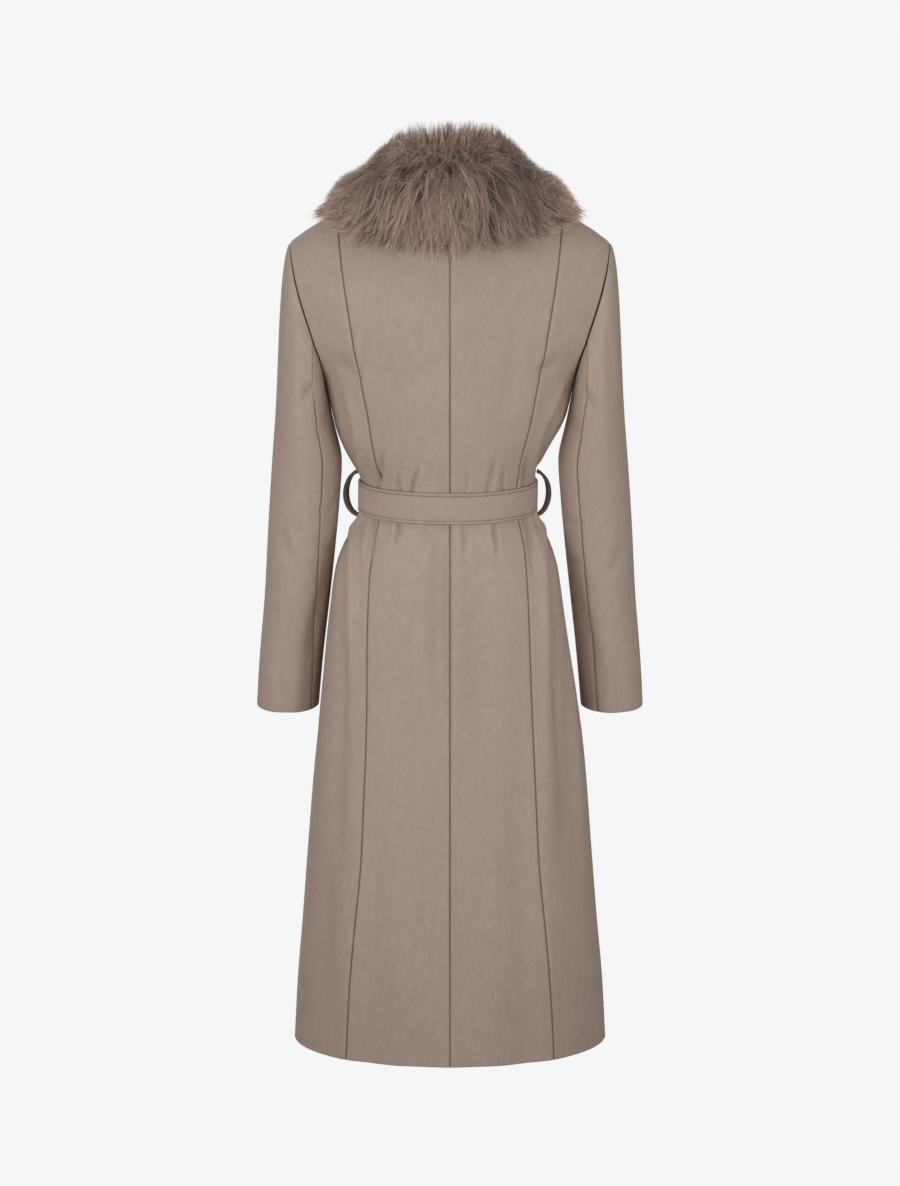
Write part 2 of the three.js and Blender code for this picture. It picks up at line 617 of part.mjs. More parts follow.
function rowOfHeight(z) {
  const low = ROW_HEIGHTS.findIndex((height, i) => z <= height && z >= (ROW_HEIGHTS[i + 1] ?? -Infinity));
  return SHOULDER_ROWS + low + (ROW_HEIGHTS[low] - z) / (ROW_HEIGHTS[low] - ROW_HEIGHTS[low + 1]);
}

// One section of the fur collar: under it the torso's points, moved out,
// over it the fur's reach, from the neck edge to the outer edge
function collarRing(at, right) {
  const value = (column) => through(COLLAR_STATIONS, 'at', column, at);
  const [under, over] = [[], []];
  for (let step = 0; step <= COLLAR_ACROSS; step += 1) {
    const v = step / COLLAR_ACROSS;
    const signedRow = mix(value('row'), value('edgeRow'), v);
    const face = signedRow < 0 ? 'front' : 'back';
    const row = Math.abs(signedRow);
    const turn = turnOfShare(face, mix(value('share'), value('edgeShare'), v), row);
    const normal = torsoNormal(turn, row);
    const base = torso(turn, row).addScaledVector(normal, FUR_GAP);
    const outward = new THREE.Vector3(normal.x, normal.y, 0).normalize();
    const up = new THREE.Vector3(0, 0, 1).addScaledVector(outward, STAND_LEAN);
    const way = ease(v * FUR_TURNS.across + Math.max(0, -value('row')) / FUR_TURNS.rows);
    const direction = up.lerp(normal, way).normalize();
    const [stand, belly, lip] = ['stand', 'belly', 'lip'].map(value);
    const height = v < 0.5 ? mix(stand, belly, ease(v * 2)) : mix(belly, lip, ease((v - 0.5) * 2));
    under.push(base);
    over.push(base.clone().addScaledVector(direction, height));
  }
  const ring = [...under, ...over.reverse()];
  return right ? ring.map(mirror) : ring;
}

function furCollar() {
  const last = (COLLAR_STATIONS.length - 1) * COLLAR_RINGS_A_STATION;
  const left = Array.from({ length: last + 1 }, (_, k) => collarRing(k / COLLAR_RINGS_A_STATION, false));
  const right = Array.from({ length: last }, (_, k) => collarRing((k + 1) / COLLAR_RINGS_A_STATION, true));
  return tube([...right.reverse(), ...left], false, false);
}

// Moves a piece of the body or the belt over to the wearer's left with the coat's sway
function swayed(shape) {
  const points = shape.getAttribute('position');
  for (let i = 0; i < points.count; i += 1) {
    const [x, z] = [points.getX(i), points.getZ(i)];
    const half = through(SECTIONS, 'z', 'half', z);
    points.setX(i, x + through(SWAY, 'z', 'x', z) * (x / half) ** 2);
  }
  return shape;
}

const coat = new THREE.Group();
function add(name, shape, finish) {
  const mesh = new THREE.Mesh(shape, new THREE.MeshStandardMaterial(finish));
  mesh.name = name;
  coat.add(mesh);
}

const around = 2 * UNDERARM_ROW;
const [backSeam, frontSeam] = SLEEVE_SEAM_COLUMNS;
const underColumns = Array.from({ length: frontSeam - backSeam + 1 }, (_, k) => backSeam + k);
const upperCount = around - frontSeam + backSeam + 1;
const upperColumns = Array.from({ length: upperCount }, (_, k) => (frontSeam + k) % around);

[false, true].forEach((right) => {
  const side = right ? 'right' : 'left';
  const sleeve = sleeveGrid(!right);
  const sink = right ? undefined : underLap;
  const front = panel({ from: frontSide, to: frontEdgeTurn, columns: FRONT_COLUMNS, right, sink });
  const backCentre = panel({ from: centreBack, to: princess, columns: BACK_COLUMNS, right });
  const backOuter = panel({ from: princess, to: backSide, columns: BACK_COLUMNS, right });
  add(`back_centre_${side}`, swayed(backCentre), WOOL);
  add(`back_side_${side}`, swayed(backOuter), WOOL);
  add(`front_${side}`, swayed(front), WOOL);
  add(`sleeve_upper_${side}`, sleevePiece(sleeve, upperColumns, right), WOOL);
  add(`sleeve_under_${side}`, sleevePiece(sleeve, underColumns, right), WOOL);
  add(`belt_loop_${side}`, swayed(beltLoop(right)), WOOL);
});
add('fur_collar', furCollar(), FUR);
add('belt', swayed(belt()), WOOL);
add('belt_knot', swayed(beltKnot()), WOOL);
TAILS.forEach((tail) => add(tail.name, swayed(beltTail(tail)), WOOL));

export default coat;
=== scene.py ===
"""A long taupe wool wrap coat with a fur collar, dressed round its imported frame.

Shapes are worked out in millimetres, with the frame's origin and axes, and written in metres.
"""
import logging
import math
from dataclasses import dataclass, replace
from enum import Enum
from typing import Callable, Optional

import bpy
import numpy as np
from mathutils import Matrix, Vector


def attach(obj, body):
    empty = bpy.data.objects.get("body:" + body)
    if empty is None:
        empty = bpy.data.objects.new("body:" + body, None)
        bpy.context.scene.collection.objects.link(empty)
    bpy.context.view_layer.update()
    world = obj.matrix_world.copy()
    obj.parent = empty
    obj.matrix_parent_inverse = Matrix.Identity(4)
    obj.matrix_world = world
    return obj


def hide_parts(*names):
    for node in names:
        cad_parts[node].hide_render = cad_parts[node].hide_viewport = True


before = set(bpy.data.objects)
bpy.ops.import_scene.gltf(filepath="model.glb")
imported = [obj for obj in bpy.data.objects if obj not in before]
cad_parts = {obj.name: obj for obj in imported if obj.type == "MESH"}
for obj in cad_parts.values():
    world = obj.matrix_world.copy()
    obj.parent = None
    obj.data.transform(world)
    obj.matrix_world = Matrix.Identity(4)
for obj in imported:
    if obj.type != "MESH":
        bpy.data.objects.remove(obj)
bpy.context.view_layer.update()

LOG = logging.getLogger("coat")
Array = np.ndarray
Material = bpy.types.Material
NodeTree = bpy.types.NodeTree
Piece = bpy.types.Object
MM = 0.001
QUARTER = math.pi / 2
ROOT = "root"

# Heights of the rows of points down a panel, below the six that turn over the shoulder
BLADE_Z, UNDERARM_Z, HEM_Z = -185.0, -246.0, -1150.0
SHOULDER_ROWS = 6
ROW_HEIGHTS = np.array([BLADE_Z, -207, -228, UNDERARM_Z, -272, -300, -328, -352, -372, -396, -419,
                        -438, -462, -495, -540, -600, -680, -770, -870, -970, -1065, -1115, HEM_Z])
UNDERARM_ROW = SHOULDER_ROWS + 3
LAST_ROW = SHOULDER_ROWS + len(ROW_HEIGHTS) - 1


def mix(start: Array, stop: Array, share: Array) -> Array:
    """A straight mix: start where share is 0, stop where it is 1."""
    return start + (stop - start) * share


def ease(share: Array) -> Array:
    """A soft step from 0 to 1: 3t^2 - 2t^3, held at both ends."""
    t = np.clip(share, 0.0, 1.0)
    return t * t * (3.0 - 2.0 * t)


def signed_power(value: Array, power: Array) -> Array:
    """The size of value to a power, with the sign of value."""
    return np.sign(value) * np.abs(value) ** power


def bell(off: Array, width: float) -> Array:
    """A bell curve: 1 where off is 0, and 1/e of that a width away."""
    return np.exp(-((off / width) ** 2))


def unit(vectors: Array) -> Array:
    """The vectors at length 1."""
    return vectors / np.maximum(np.linalg.norm(vectors, axis=-1, keepdims=True), 1e-9)


def mirrored(points: Array) -> Array:
    """The points with x turned round."""
    return points * np.array([-1.0, 1.0, 1.0])


@dataclass(frozen=True)
class Curve:
    """A smooth curve through rows of (place, value) that never swings past them.

    Between two rows it is a cubic whose end slopes are the harmonic means of the
    straight slopes beside each row, or 0 where those slopes differ in sign.
    """

    places: tuple[float, ...]
    values: tuple[float, ...]

    def at(self, where: Array) -> Array:
        """The curve's value.

        Args:
            where: places along the curve, of any shape.

        Returns:
            The values there, the first or last row's value past the ends.
        """
        x, y = np.array(self.places, float), np.array(self.values, float)
        where = np.asarray(where, float)
        if x[0] > x[-1]:
            x, where = -x, -where
        slope = np.diff(y) / np.diff(x)
        product = slope[:-1] * slope[1:]
        total = np.where(product > 0, slope[:-1] + slope[1:], 1.0)
        inner = np.where(product > 0, 2.0 * product / total, 0.0)
        tangent = np.concatenate([slope[:1], inner, slope[-1:]])
        i = np.clip(np.searchsorted(x, where, side="right") - 1, 0, len(x) - 2)
        step = x[i + 1] - x[i]
        t = np.clip((where - x[i]) / step, 0.0, 1.0)
        return ((2 * t**3 - 3 * t**2 + 1) * y[i] + (t**3 - 2 * t**2 + t) * step * tangent[i]
                + (3 * t**2 - 2 * t**3) * y[i + 1] + (t**3 - t**2) * step * tangent[i + 1])


def curve(*rows: tuple[float, float]) -> Curve:
    """A Curve from rows of (place, value)."""
    return Curve(tuple(r[0] for r in rows), tuple(r[1] for r in rows))


SECTION_Z = (BLADE_Z, UNDERARM_Z, -272, -300, -328, -352, -372, -396, -419, -438, -462, -495, -540,
             -600, -680, -770, -870, -970, -1065, HEM_Z)
ARMHOLE_Z = (BLADE_Z, -207, -228, UNDERARM_Z)


@dataclass(frozen=True)
class CoatForm:
    """The coat's outer face as a function of turn and row, the same as the frame's solids.

    turn runs from the centre back (0) round the wearer's left side (a quarter turn) to the
    centre front (half a turn). row runs from the shoulder line (0) over the shoulder to blade
    height (6), past the underarm (9) to the hem (28).
    """

    wall: float = 2.2
    seam_gap: float = 0.3
    lap_gap: float = 1.4
    neck_half: float = 74
    neck_y: float = 2
    neck_z: float = 2
    back_neck_y: float = 66
    back_neck_rise: float = 8
    tip_half: float = 209
    tip_y: float = -3
    shoulder_slope: float = 0.332
    tip_drop: float = 19.5
    shoulder_round: float = 0.92
    hem_rise: float = 5
    hem_rise_from: float = -900
    half: Curve = Curve(SECTION_Z, (200, 163, 157, 149, 136, 124, 115, 112.5, 115, 126, 137, 147.5, 154,
                                    162, 172.5, 182.5, 190.5, 198.5, 207, 212))
    back: Curve = Curve(SECTION_Z, (100, 99, 98, 96, 94, 91, 89, 88, 90, 95, 100, 105, 110,
                                    114, 119, 124, 129, 134, 138, 141))
    front: Curve = Curve(SECTION_Z, (103, 108, 107, 104, 99, 94, 90, 88, 90, 95, 99, 103, 108,
                                     113, 120, 127, 134, 140, 146, 150))
    roundness: Curve = Curve(SECTION_Z, (2.2, 2.2, 2.15, 2.1, 2.05, 2.0, 2.0, 2.0, 2.0, 2.15, 2.3, 2.4,
                                         2.45, 2.45, 2.4, 2.35, 2.3, 2.25, 2.05, 1.9))
    armhole_x: Curve = Curve(ARMHOLE_Z, (177, 169.5, 165, 163))
    armhole_back: Curve = Curve(ARMHOLE_Z, (54, 45, 28, 0))
    armhole_front: Curve = Curve(ARMHOLE_Z, (50, 42, 26, 0))
    armhole_top: Curve = curve((0, 209), (1 / 6, 208.5), (2 / 6, 206.5), (3 / 6, 203), (4 / 6, 197),
                               (5 / 6, 188), (1, 177))
    princess: Curve = curve((BLADE_Z, 124), (UNDERARM_Z, 112), (-300, 103), (-372, 89), (-396, 87.5),
                            (-419, 92), (-462, 101), (-540, 105.5), (-680, 109), (-770, 113), (-870, 118),
                            (-970, 127), (-1065, 134.5), (HEM_Z, 139))
    princess_ridge: float = 145
    princess_blade: float = 124
    front_edge: Curve = curve((BLADE_Z, 23), (UNDERARM_Z, -14), (-300, -36), (-396, -62), (-680, -74),
                              (HEM_Z, -92))
    lapel_blade: float = 0.13
    sway: Curve = curve((-286, 0), (-340, 5), (-380, 2.4), (-440, 3.2), (-490, 4.6), (-570, 4),
                        (-640, 2), (-720, 0))
    lap_from: float = 38
    lap_over: float = 32
    turn_step: float = 0.012
    row_step: float = 0.03

    def height(self, row: Array) -> Array:
        """The height of a row below blade height, straight between the table's rows."""
        return np.interp(np.asarray(row, float) - SHOULDER_ROWS, np.arange(len(ROW_HEIGHTS)), ROW_HEIGHTS)

    def row_at(self, z: Array) -> Array:
        """The row at a height at or below blade height."""
        return SHOULDER_ROWS + np.interp(-np.asarray(z, float), -ROW_HEIGHTS, np.arange(len(ROW_HEIGHTS)))

    def level(self, row: Array) -> Array:
        """The height of the level section that a row takes its sides from."""
        return np.where(np.asarray(row) < SHOULDER_ROWS, BLADE_Z, self.height(row))

    def section(self, back: Array, z: Array) -> tuple[Array, Array, Array, Array]:
        """One level section, a superellipse. Beside the armhole its width is such that it
        passes through the armhole's edge.

        Args:
            back: true behind the side seams.
            z: heights at or below blade height.

        Returns:
            Half width, depth, roundness, and how far out the cloth's edge lies.
        """
        depth = np.where(back, self.back.at(z), self.front.at(z))
        power = self.roundness.at(z)
        off = np.where(back, self.armhole_back.at(z), self.armhole_front.at(z))
        edge = self.armhole_x.at(z)
        beside = edge / (1.0 - (off / depth) ** power) ** (1.0 / power)
        low = np.asarray(z) < UNDERARM_Z
        half = np.where(low, self.half.at(z), beside)
        return half, depth, power, np.where(low, half, edge)

    def ridge(self, back: Array, share: Array) -> tuple[Array, Array]:
        """The shoulder line, and nearer the middle than the neck point the back neckline,
        a cosine arch.

        Args:
            back: true behind the shoulder line.
            share: share of the way from the middle to the shoulder tip.

        Returns:
            Its y and its z.
        """
        x = np.abs(share) * self.tip_half
        arch = np.cos(QUARTER * np.clip(x / self.neck_half, 0, 1))
        arch = np.where(back & (x < self.neck_half), arch, 0.0)
        out = np.clip((x - self.neck_half) / (self.tip_half - self.neck_half), 0, None)
        down = self.shoulder_slope * np.clip(x - self.neck_half, 0, None) + self.tip_drop * out**4
        y = np.where(arch > 0, mix(self.neck_y, self.back_neck_y, arch), mix(self.neck_y, self.tip_y, out))
        return y, self.neck_z + self.back_neck_rise * arch - down

    def torso(self, turn: Array, row: Array) -> Array:
        """Points of the outer face. Below blade height they lie on level superellipses. Above
        it each column is a quarter superellipse from the shoulder line down to blade height.

        Args:
            turn: turns about the coat, in radians.
            row: rows down the coat.

        Returns:
            Points, in millimetres, with one more axis than turn and row.
        """
        turn, row = np.broadcast_arrays(np.asarray(turn, float), np.asarray(row, float))
        back = turn <= QUARTER
        angle = np.where(back, turn, math.pi - turn)
        z = self.level(row)
        half, depth, power, edge = self.section(back, z)
        x = half * signed_power(np.sin(angle), 2.0 / power)
        y = np.where(back, 1.0, -1.0) * depth * np.abs(np.cos(angle)) ** (2.0 / power)
        rise = np.where(back, self.hem_rise * np.cos(angle) ** 2, 0.0)
        rise = rise * ease((self.hem_rise_from - z) / (self.hem_rise_from - HEM_Z))
        low = np.stack([x, y, z + rise], axis=-1)
        share = x / edge
        over = np.clip(row / SHOULDER_ROWS, 0.0, 1.0)
        ridge_y, ridge_z = self.ridge(back, share)
        reach = np.sin(QUARTER * over) ** self.shoulder_round
        drop = np.abs(np.cos(QUARTER * over)) ** self.shoulder_round
        top = np.stack([share * self.armhole_top.at(over), mix(ridge_y, y, reach),
                        mix(BLADE_Z, ridge_z, drop)], axis=-1)
        return np.where((row < SHOULDER_ROWS)[..., None], top, low)

    def normal(self, turn: Array, row: Array) -> Array:
        """Outward directions of the outer face, from small steps in turn and row."""
        turn, row = np.broadcast_arrays(np.asarray(turn, float), np.asarray(row, float))
        across = self.torso(turn + self.turn_step, row) - self.torso(turn - self.turn_step, row)
        up, low = np.maximum(row - self.row_step, 0.0), np.minimum(row + self.row_step, LAST_ROW)
        down = self.torso(turn, low) - self.torso(turn, up)
        return unit(np.cross(across, down))

    def turn_at(self, back: Array, x: Array, row: Array) -> Array:
        """The turn of a place on a row.

        Args:
            back: true behind the side seams.
            x: distance from the middle at the row's level section.
            row: rows down the coat.

        Returns:
            Turns, in radians.
        """
        half, _, power, _ = self.section(back, self.level(row))
        angle = np.arcsin(np.clip(signed_power(x / half, power / 2.0), -1.0, 1.0))
        return np.where(back, angle, math.pi - angle)

    def turn_of_share(self, back: Array, share: Array, row: Array) -> Array:
        """The turn of a place given as a share of the way from the middle to the row's edge."""
        edge = self.section(back, self.level(row))[3]
        return self.turn_at(back, share * edge, row)

    def side_turn(self, back: Array, row: Array) -> Array:
        """The turn of the armhole's edge or, below the underarm, of the side seam."""
        row = np.asarray(row, float)
        return np.where(row >= UNDERARM_ROW, QUARTER, self.turn_of_share(back, 1.0, row))

    def princess_turn(self, row: Array) -> Array:
        """The turn of the princess seam."""
        row = np.asarray(row, float)
        edge = self.section(True, self.level(row))[3]
        share = mix(self.princess_ridge / self.tip_half, self.princess_blade / edge,
                    np.clip(row / SHOULDER_ROWS, 0, 1))
        top = self.turn_of_share(True, share, row)
        low = self.turn_at(True, self.princess.at(self.height(row)), row)
        return np.where(row >= SHOULDER_ROWS, low, top)

    def front_edge_turn(self, row: Array) -> Array:
        """The turn of a front's free edge."""
        row = np.asarray(row, float)
        share = mix(self.neck_half / self.tip_half, self.lapel_blade, np.clip(row / SHOULDER_ROWS, 0, 1))
        top = self.turn_of_share(False, share, row)
        low = self.turn_at(False, self.front_edge.at(self.height(row)), row)
        return np.where(row >= SHOULDER_ROWS, low, top)

    def under_lap(self, x: Array, row: Array) -> Array:
        """How far the left front sinks to lie under the right one's edge."""
        edge = -self.front_edge.at(self.height(row))
        sink = (self.wall + self.lap_gap) * ease((edge + self.lap_from - x) / self.lap_over)
        return np.where(np.asarray(row) < SHOULDER_ROWS, 0.0, sink)

    def swayed(self, points: Array) -> Array:
        """The points moved over to the wearer's left: by the sway at their height, times the
        square of their share of the half width there."""
        x, z = points[..., 0], points[..., 2]
        moved = x + self.sway.at(z) * (x / self.half.at(z)) ** 2
        return np.stack([moved, points[..., 1], z], axis=-1)


SLEEVE_Z = (-300, -350, -403, -466, -533, -600, -650, -690)


@dataclass(frozen=True)
class SleeveForm:
    """The left sleeve as a function of column and length, the same as the frame's solids.

    column runs from the shoulder tip (0) down the back of the armhole to the underarm (9)
    and up its front (18). length runs from the armhole (0) over the cap (1) to the cuff (2).
    turned is 1 where the sleeve's seams turn inwards on their way down, as the left one's do.
    """

    coat: CoatForm
    cap_z: float = -300
    cuff_z: float = -690
    around: int = 2 * UNDERARM_ROW
    turned: float = 0.0
    inner: Curve = Curve(SLEEVE_Z, (152.5, 143, 146.5, 152.5, 160, 168, 173, 176.5))
    outer: Curve = Curve(SLEEVE_Z, (230.5, 234.5, 238.5, 243, 247.5, 253.5, 257.5, 260))
    middle: Curve = Curve(SLEEVE_Z, (-2, -5, -9, -14, -20, -27, -32, -36))
    depth: Curve = Curve(SLEEVE_Z, (64, 62, 59.5, 57, 55, 53.5, 52.5, 52))
    twist: Curve = Curve(SLEEVE_Z, (0, 0, 0.05, 0.2, 0.4, 0.7, 0.9, 1.05))
    leave_underarm: float = -7.5
    leave_tip: float = 40
    leave_beside: float = 34
    leave_fall: float = 45
    leave_fall_beside: float = 40
    tuck_from: float = 0.42
    tuck_over: float = 0.3
    tuck_lift: float = 1.5
    arrive_step: float = 10.0

    def ring(self, z: Array, column: Array) -> Array:
        """Points of level rings, each an ellipse, whose seams turn inwards down the sleeve.

        Args:
            z: heights.
            column: places round the sleeve.

        Returns:
            Points, in millimetres.
        """
        place = (column + self.turned * self.twist.at(z)) / UNDERARM_ROW
        angle = math.pi * np.abs(1.0 - place)
        inner, outer = self.inner.at(z), self.outer.at(z)
        x = (inner + outer) / 2.0 - (outer - inner) / 2.0 * np.cos(angle)
        y = self.middle.at(z) + np.where(place <= 1.0, 1.0, -1.0) * self.depth.at(z) * np.sin(angle)
        return np.stack(np.broadcast_arrays(x, y, z), axis=-1)

    def armhole(self, column: Array) -> tuple[Array, Array, Array]:
        """The armhole's edge.

        Args:
            column: places round it.

        Returns:
            Points, the cloth's outward directions, and directions off the edge.
        """
        def place(where: Array) -> tuple[Array, Array, Array]:
            """The edge's points with their turns and rows."""
            back = where <= UNDERARM_ROW
            row = np.where(back, where, self.around - where)
            turn = self.coat.side_turn(back, row)
            return self.coat.torso(turn, row), turn, row

        points, turn, row = place(column)
        normal = self.coat.normal(turn, row)
        after = place(np.minimum(column + 0.5, self.around))[0]
        before = place(np.maximum(column - 0.5, 0.0))[0]
        return points, normal, unit(np.cross(after - before, normal))

    def surface(self, column: Array, length: Array) -> Array:
        """Points of the sleeve: over the cap a cubic from the armhole's edge to the first level
        ring, leaving it outwards at the tip and downwards at the underarm, then level rings.

        Args:
            column: places round the sleeve.
            length: places along it.

        Returns:
            Points, in millimetres.
        """
        column, length = np.broadcast_arrays(np.asarray(column, float), np.asarray(length, float))
        angle = math.pi * np.abs(1.0 - column / UNDERARM_ROW)
        behind = np.where(column <= UNDERARM_ROW, 1.0, -1.0)
        z = mix(self.cap_z, self.cuff_z, np.clip(length - 1.0, 0.0, 1.0))
        low = self.ring(z, column)
        edge, normal, off = self.armhole(column)
        tuck = ease((self.tuck_from - angle / math.pi) / self.tuck_over)[..., None]
        gap = self.coat.seam_gap
        start = edge + off * gap * (1.0 - tuck) + normal * gap * self.tuck_lift * tuck
        cap = np.full_like(angle, self.cap_z)
        end = self.ring(cap, column)
        rise = (start[..., 2] - self.cap_z)[..., None]
        outward = (1.0 - np.cos(angle)) / 2.0
        leave = np.stack([mix(self.leave_underarm, self.leave_tip, outward),
                          self.leave_beside * behind * np.sin(angle),
                          -self.leave_fall - self.leave_fall_beside * np.sin(angle)], axis=-1)
        arrive = (self.ring(cap - self.arrive_step, column) - end) * rise / self.arrive_step
        t = np.clip(length, 0.0, 1.0)[..., None]
        top = (start * (2 * t**3 - 3 * t**2 + 1) + leave * (t**3 - 2 * t**2 + t)
               + end * (3 * t**2 - 2 * t**3) + arrive * (t**3 - t**2))
        return np.where((length < 1.0)[..., None], top, low)


# Meshes and materials

def make_mesh(name: str, points: Array, faces: list[Array], material: Material,
              marks: Optional[dict[str, Array]] = None) -> Piece:
    """A smooth mesh object at the origin.

    Args:
        name: the object's name.
        points: places in millimetres, one row each.
        faces: arrays of faces, each array with its own number of corners.
        material: the finish.
        marks: values for each point by attribute name.

    Returns:
        The object, linked to the scene.
    """
    mesh = bpy.data.meshes.new(name)
    corners = np.concatenate([part.ravel() for part in faces]).astype(np.int32)
    sides = np.concatenate([np.full(len(part), part.shape[1]) for part in faces])
    mesh.vertices.add(len(points))
    mesh.vertices.foreach_set("co", (points.reshape(-1, 3) * MM).astype(np.float32).ravel())
    mesh.loops.add(len(corners))
    mesh.loops.foreach_set("vertex_index", corners)
    mesh.polygons.add(len(sides))
    mesh.polygons.foreach_set("loop_start", (np.cumsum(sides) - sides).astype(np.int32))
    mesh.update(calc_edges=True)
    mesh.shade_smooth()
    for key, values in (marks or {}).items():
        mark = mesh.attributes.new(key, "FLOAT", "POINT")
        mark.data.foreach_set("value", values.astype(np.float32).ravel())
    mesh.materials.append(material)
    made = bpy.data.objects.new(name, mesh)
    bpy.context.scene.collection.objects.link(made)
    return made


def grid_faces(rows: int, columns: int, start: int = 0, around: bool = False, down: bool = False) -> Array:
    """Quads over a grid of points that are numbered row by row.

    Args:
        rows: rows of points.
        columns: points in a row.
        start: the first point's number.
        around: true if each row closes on itself.
        down: true if the last row joins the first one.

    Returns:
        Faces of four points, wound from one column to the next and then down.
    """
    j = np.arange(columns if around else columns - 1)
    i = np.arange(rows if down else rows - 1)[:, None]
    beside, below = (j + 1) % columns, (i + 1) % rows
    return start + np.stack([i * columns + j, i * columns + beside, below * columns + beside,
                             below * columns + j], axis=-1).reshape(-1, 4)


def shell_faces(rows: int, columns: int, flipped: bool) -> list[Array]:
    """Faces of a closed wall: an outer grid, an inner grid and the rim between them."""
    count = rows * columns
    outer = grid_faces(rows, columns)
    inner = grid_faces(rows, columns, count)[:, ::-1]
    number = np.arange(count).reshape(rows, columns)
    loop = np.concatenate([number[0, :-1], number[:-1, -1], number[-1, :0:-1], number[:0:-1, 0]])
    after = np.roll(loop, -1)
    rim = np.stack([after, loop, loop + count, after + count], axis=-1)
    faces = np.concatenate([outer, inner, rim])
    return [faces[:, ::-1] if flipped else faces]


def tube_faces(rings: int, around: int, flipped: bool = False) -> list[Array]:
    """Faces of a closed tube of rings of points, with a flat face at each end."""
    ring = np.arange(around)
    faces = [grid_faces(rings, around, around=True), ring[None, ::-1], (ring + (rings - 1) * around)[None, :]]
    return [part[:, ::-1] for part in faces] if flipped else faces


def group(name: str, inputs: list[tuple[str, str, float]], outputs: list[tuple[str, str]]
          ) -> NodeTree:
    """An empty node group with its inputs' defaults and its outputs set up."""
    tree = bpy.data.node_groups.new(name, "ShaderNodeTree")
    for label, kind, value in inputs:
        socket = tree.interface.new_socket(label, in_out="INPUT", socket_type=kind)
        socket.default_value = value
    for label, kind in outputs:
        tree.interface.new_socket(label, in_out="OUTPUT", socket_type=kind)
    return tree


def node(tree: NodeTree, kind: str, **settings: object) -> bpy.types.Node:
    """A new node. Settings named in_N set the default of input N, others its properties."""
    made = tree.nodes.new(kind)
    for key, value in settings.items():
        if key.startswith("in_"):
            made.inputs[int(key[3:])].default_value = value
        else:
            setattr(made, key, value)
    return made


def principled(name: str, **levels: object) -> tuple[Material, bpy.types.Node]:
    """A new Principled material and its shader, with sockets' values by name, _ for a space."""
    material = bpy.data.materials.new(name)
    material.use_nodes = True
    shader = material.node_tree.nodes["Principled BSDF"]
    for key, value in levels.items():
        shader.inputs[key.replace("_", " ")].default_value = value
    return material, shader


def noise(tree: NodeTree, scale: float, detail: float, roughness: float) -> bpy.types.Node:
    """A noise texture."""
    return node(tree, "ShaderNodeTexNoise", in_2=scale, in_3=detail, in_4=roughness)


def felt_group() -> NodeTree:
    """Brushed wool felt: a faint mottle, a short nap that lies at a slant, and its relief."""
    tree = group("felt nap", [("Mottle", "NodeSocketFloat", 0.05), ("Relief", "NodeSocketFloat", 0.2)],
                 [("Shade", "NodeSocketFloat"), ("Normal", "NodeSocketVector")])
    link = tree.links.new
    source, sink = node(tree, "NodeGroupInput"), node(tree, "NodeGroupOutput")
    where = node(tree, "ShaderNodeTexCoord")
    cloud = noise(tree, scale=9.0, detail=5.0, roughness=0.62)
    slant = node(tree, "ShaderNodeMapping")
    slant.inputs["Rotation"].default_value = (0.2, 0.35, 0.15)
    slant.inputs["Scale"].default_value = (1.0, 1.0, 0.35)
    nap = noise(tree, scale=620.0, detail=4.0, roughness=0.6)
    fuzz = noise(tree, scale=150.0, detail=3.0, roughness=0.55)
    link(where.outputs["Object"], cloud.inputs["Vector"])
    link(where.outputs["Object"], slant.inputs["Vector"])
    link(slant.outputs["Vector"], nap.inputs["Vector"])
    link(slant.outputs["Vector"], fuzz.inputs["Vector"])
    both = node(tree, "ShaderNodeMath", operation="ADD")
    link(nap.outputs[0], both.inputs[0])
    link(fuzz.outputs[0], both.inputs[1])
    fine = node(tree, "ShaderNodeMath", operation="MULTIPLY_ADD", in_1=0.55, in_2=-0.55)
    link(both.outputs[0], fine.inputs[0])
    broad = node(tree, "ShaderNodeMath", operation="MULTIPLY_ADD", in_1=0.3, in_2=-0.15)
    link(cloud.outputs[0], broad.inputs[0])
    total = node(tree, "ShaderNodeMath", operation="ADD")
    link(fine.outputs[0], total.inputs[0])
    link(broad.outputs[0], total.inputs[1])
    shade = node(tree, "ShaderNodeMath", operation="MULTIPLY_ADD", in_2=1.0)
    link(total.outputs[0], shade.inputs[0])
    link(source.outputs["Mottle"], shade.inputs[1])
    link(shade.outputs[0], sink.inputs["Shade"])
    bump = node(tree, "ShaderNodeBump", in_1=0.0006)
    link(source.outputs["Relief"], bump.inputs["Strength"])
    link(both.outputs[0], bump.inputs["Height"])
    link(bump.outputs[0], sink.inputs["Normal"])
    return tree


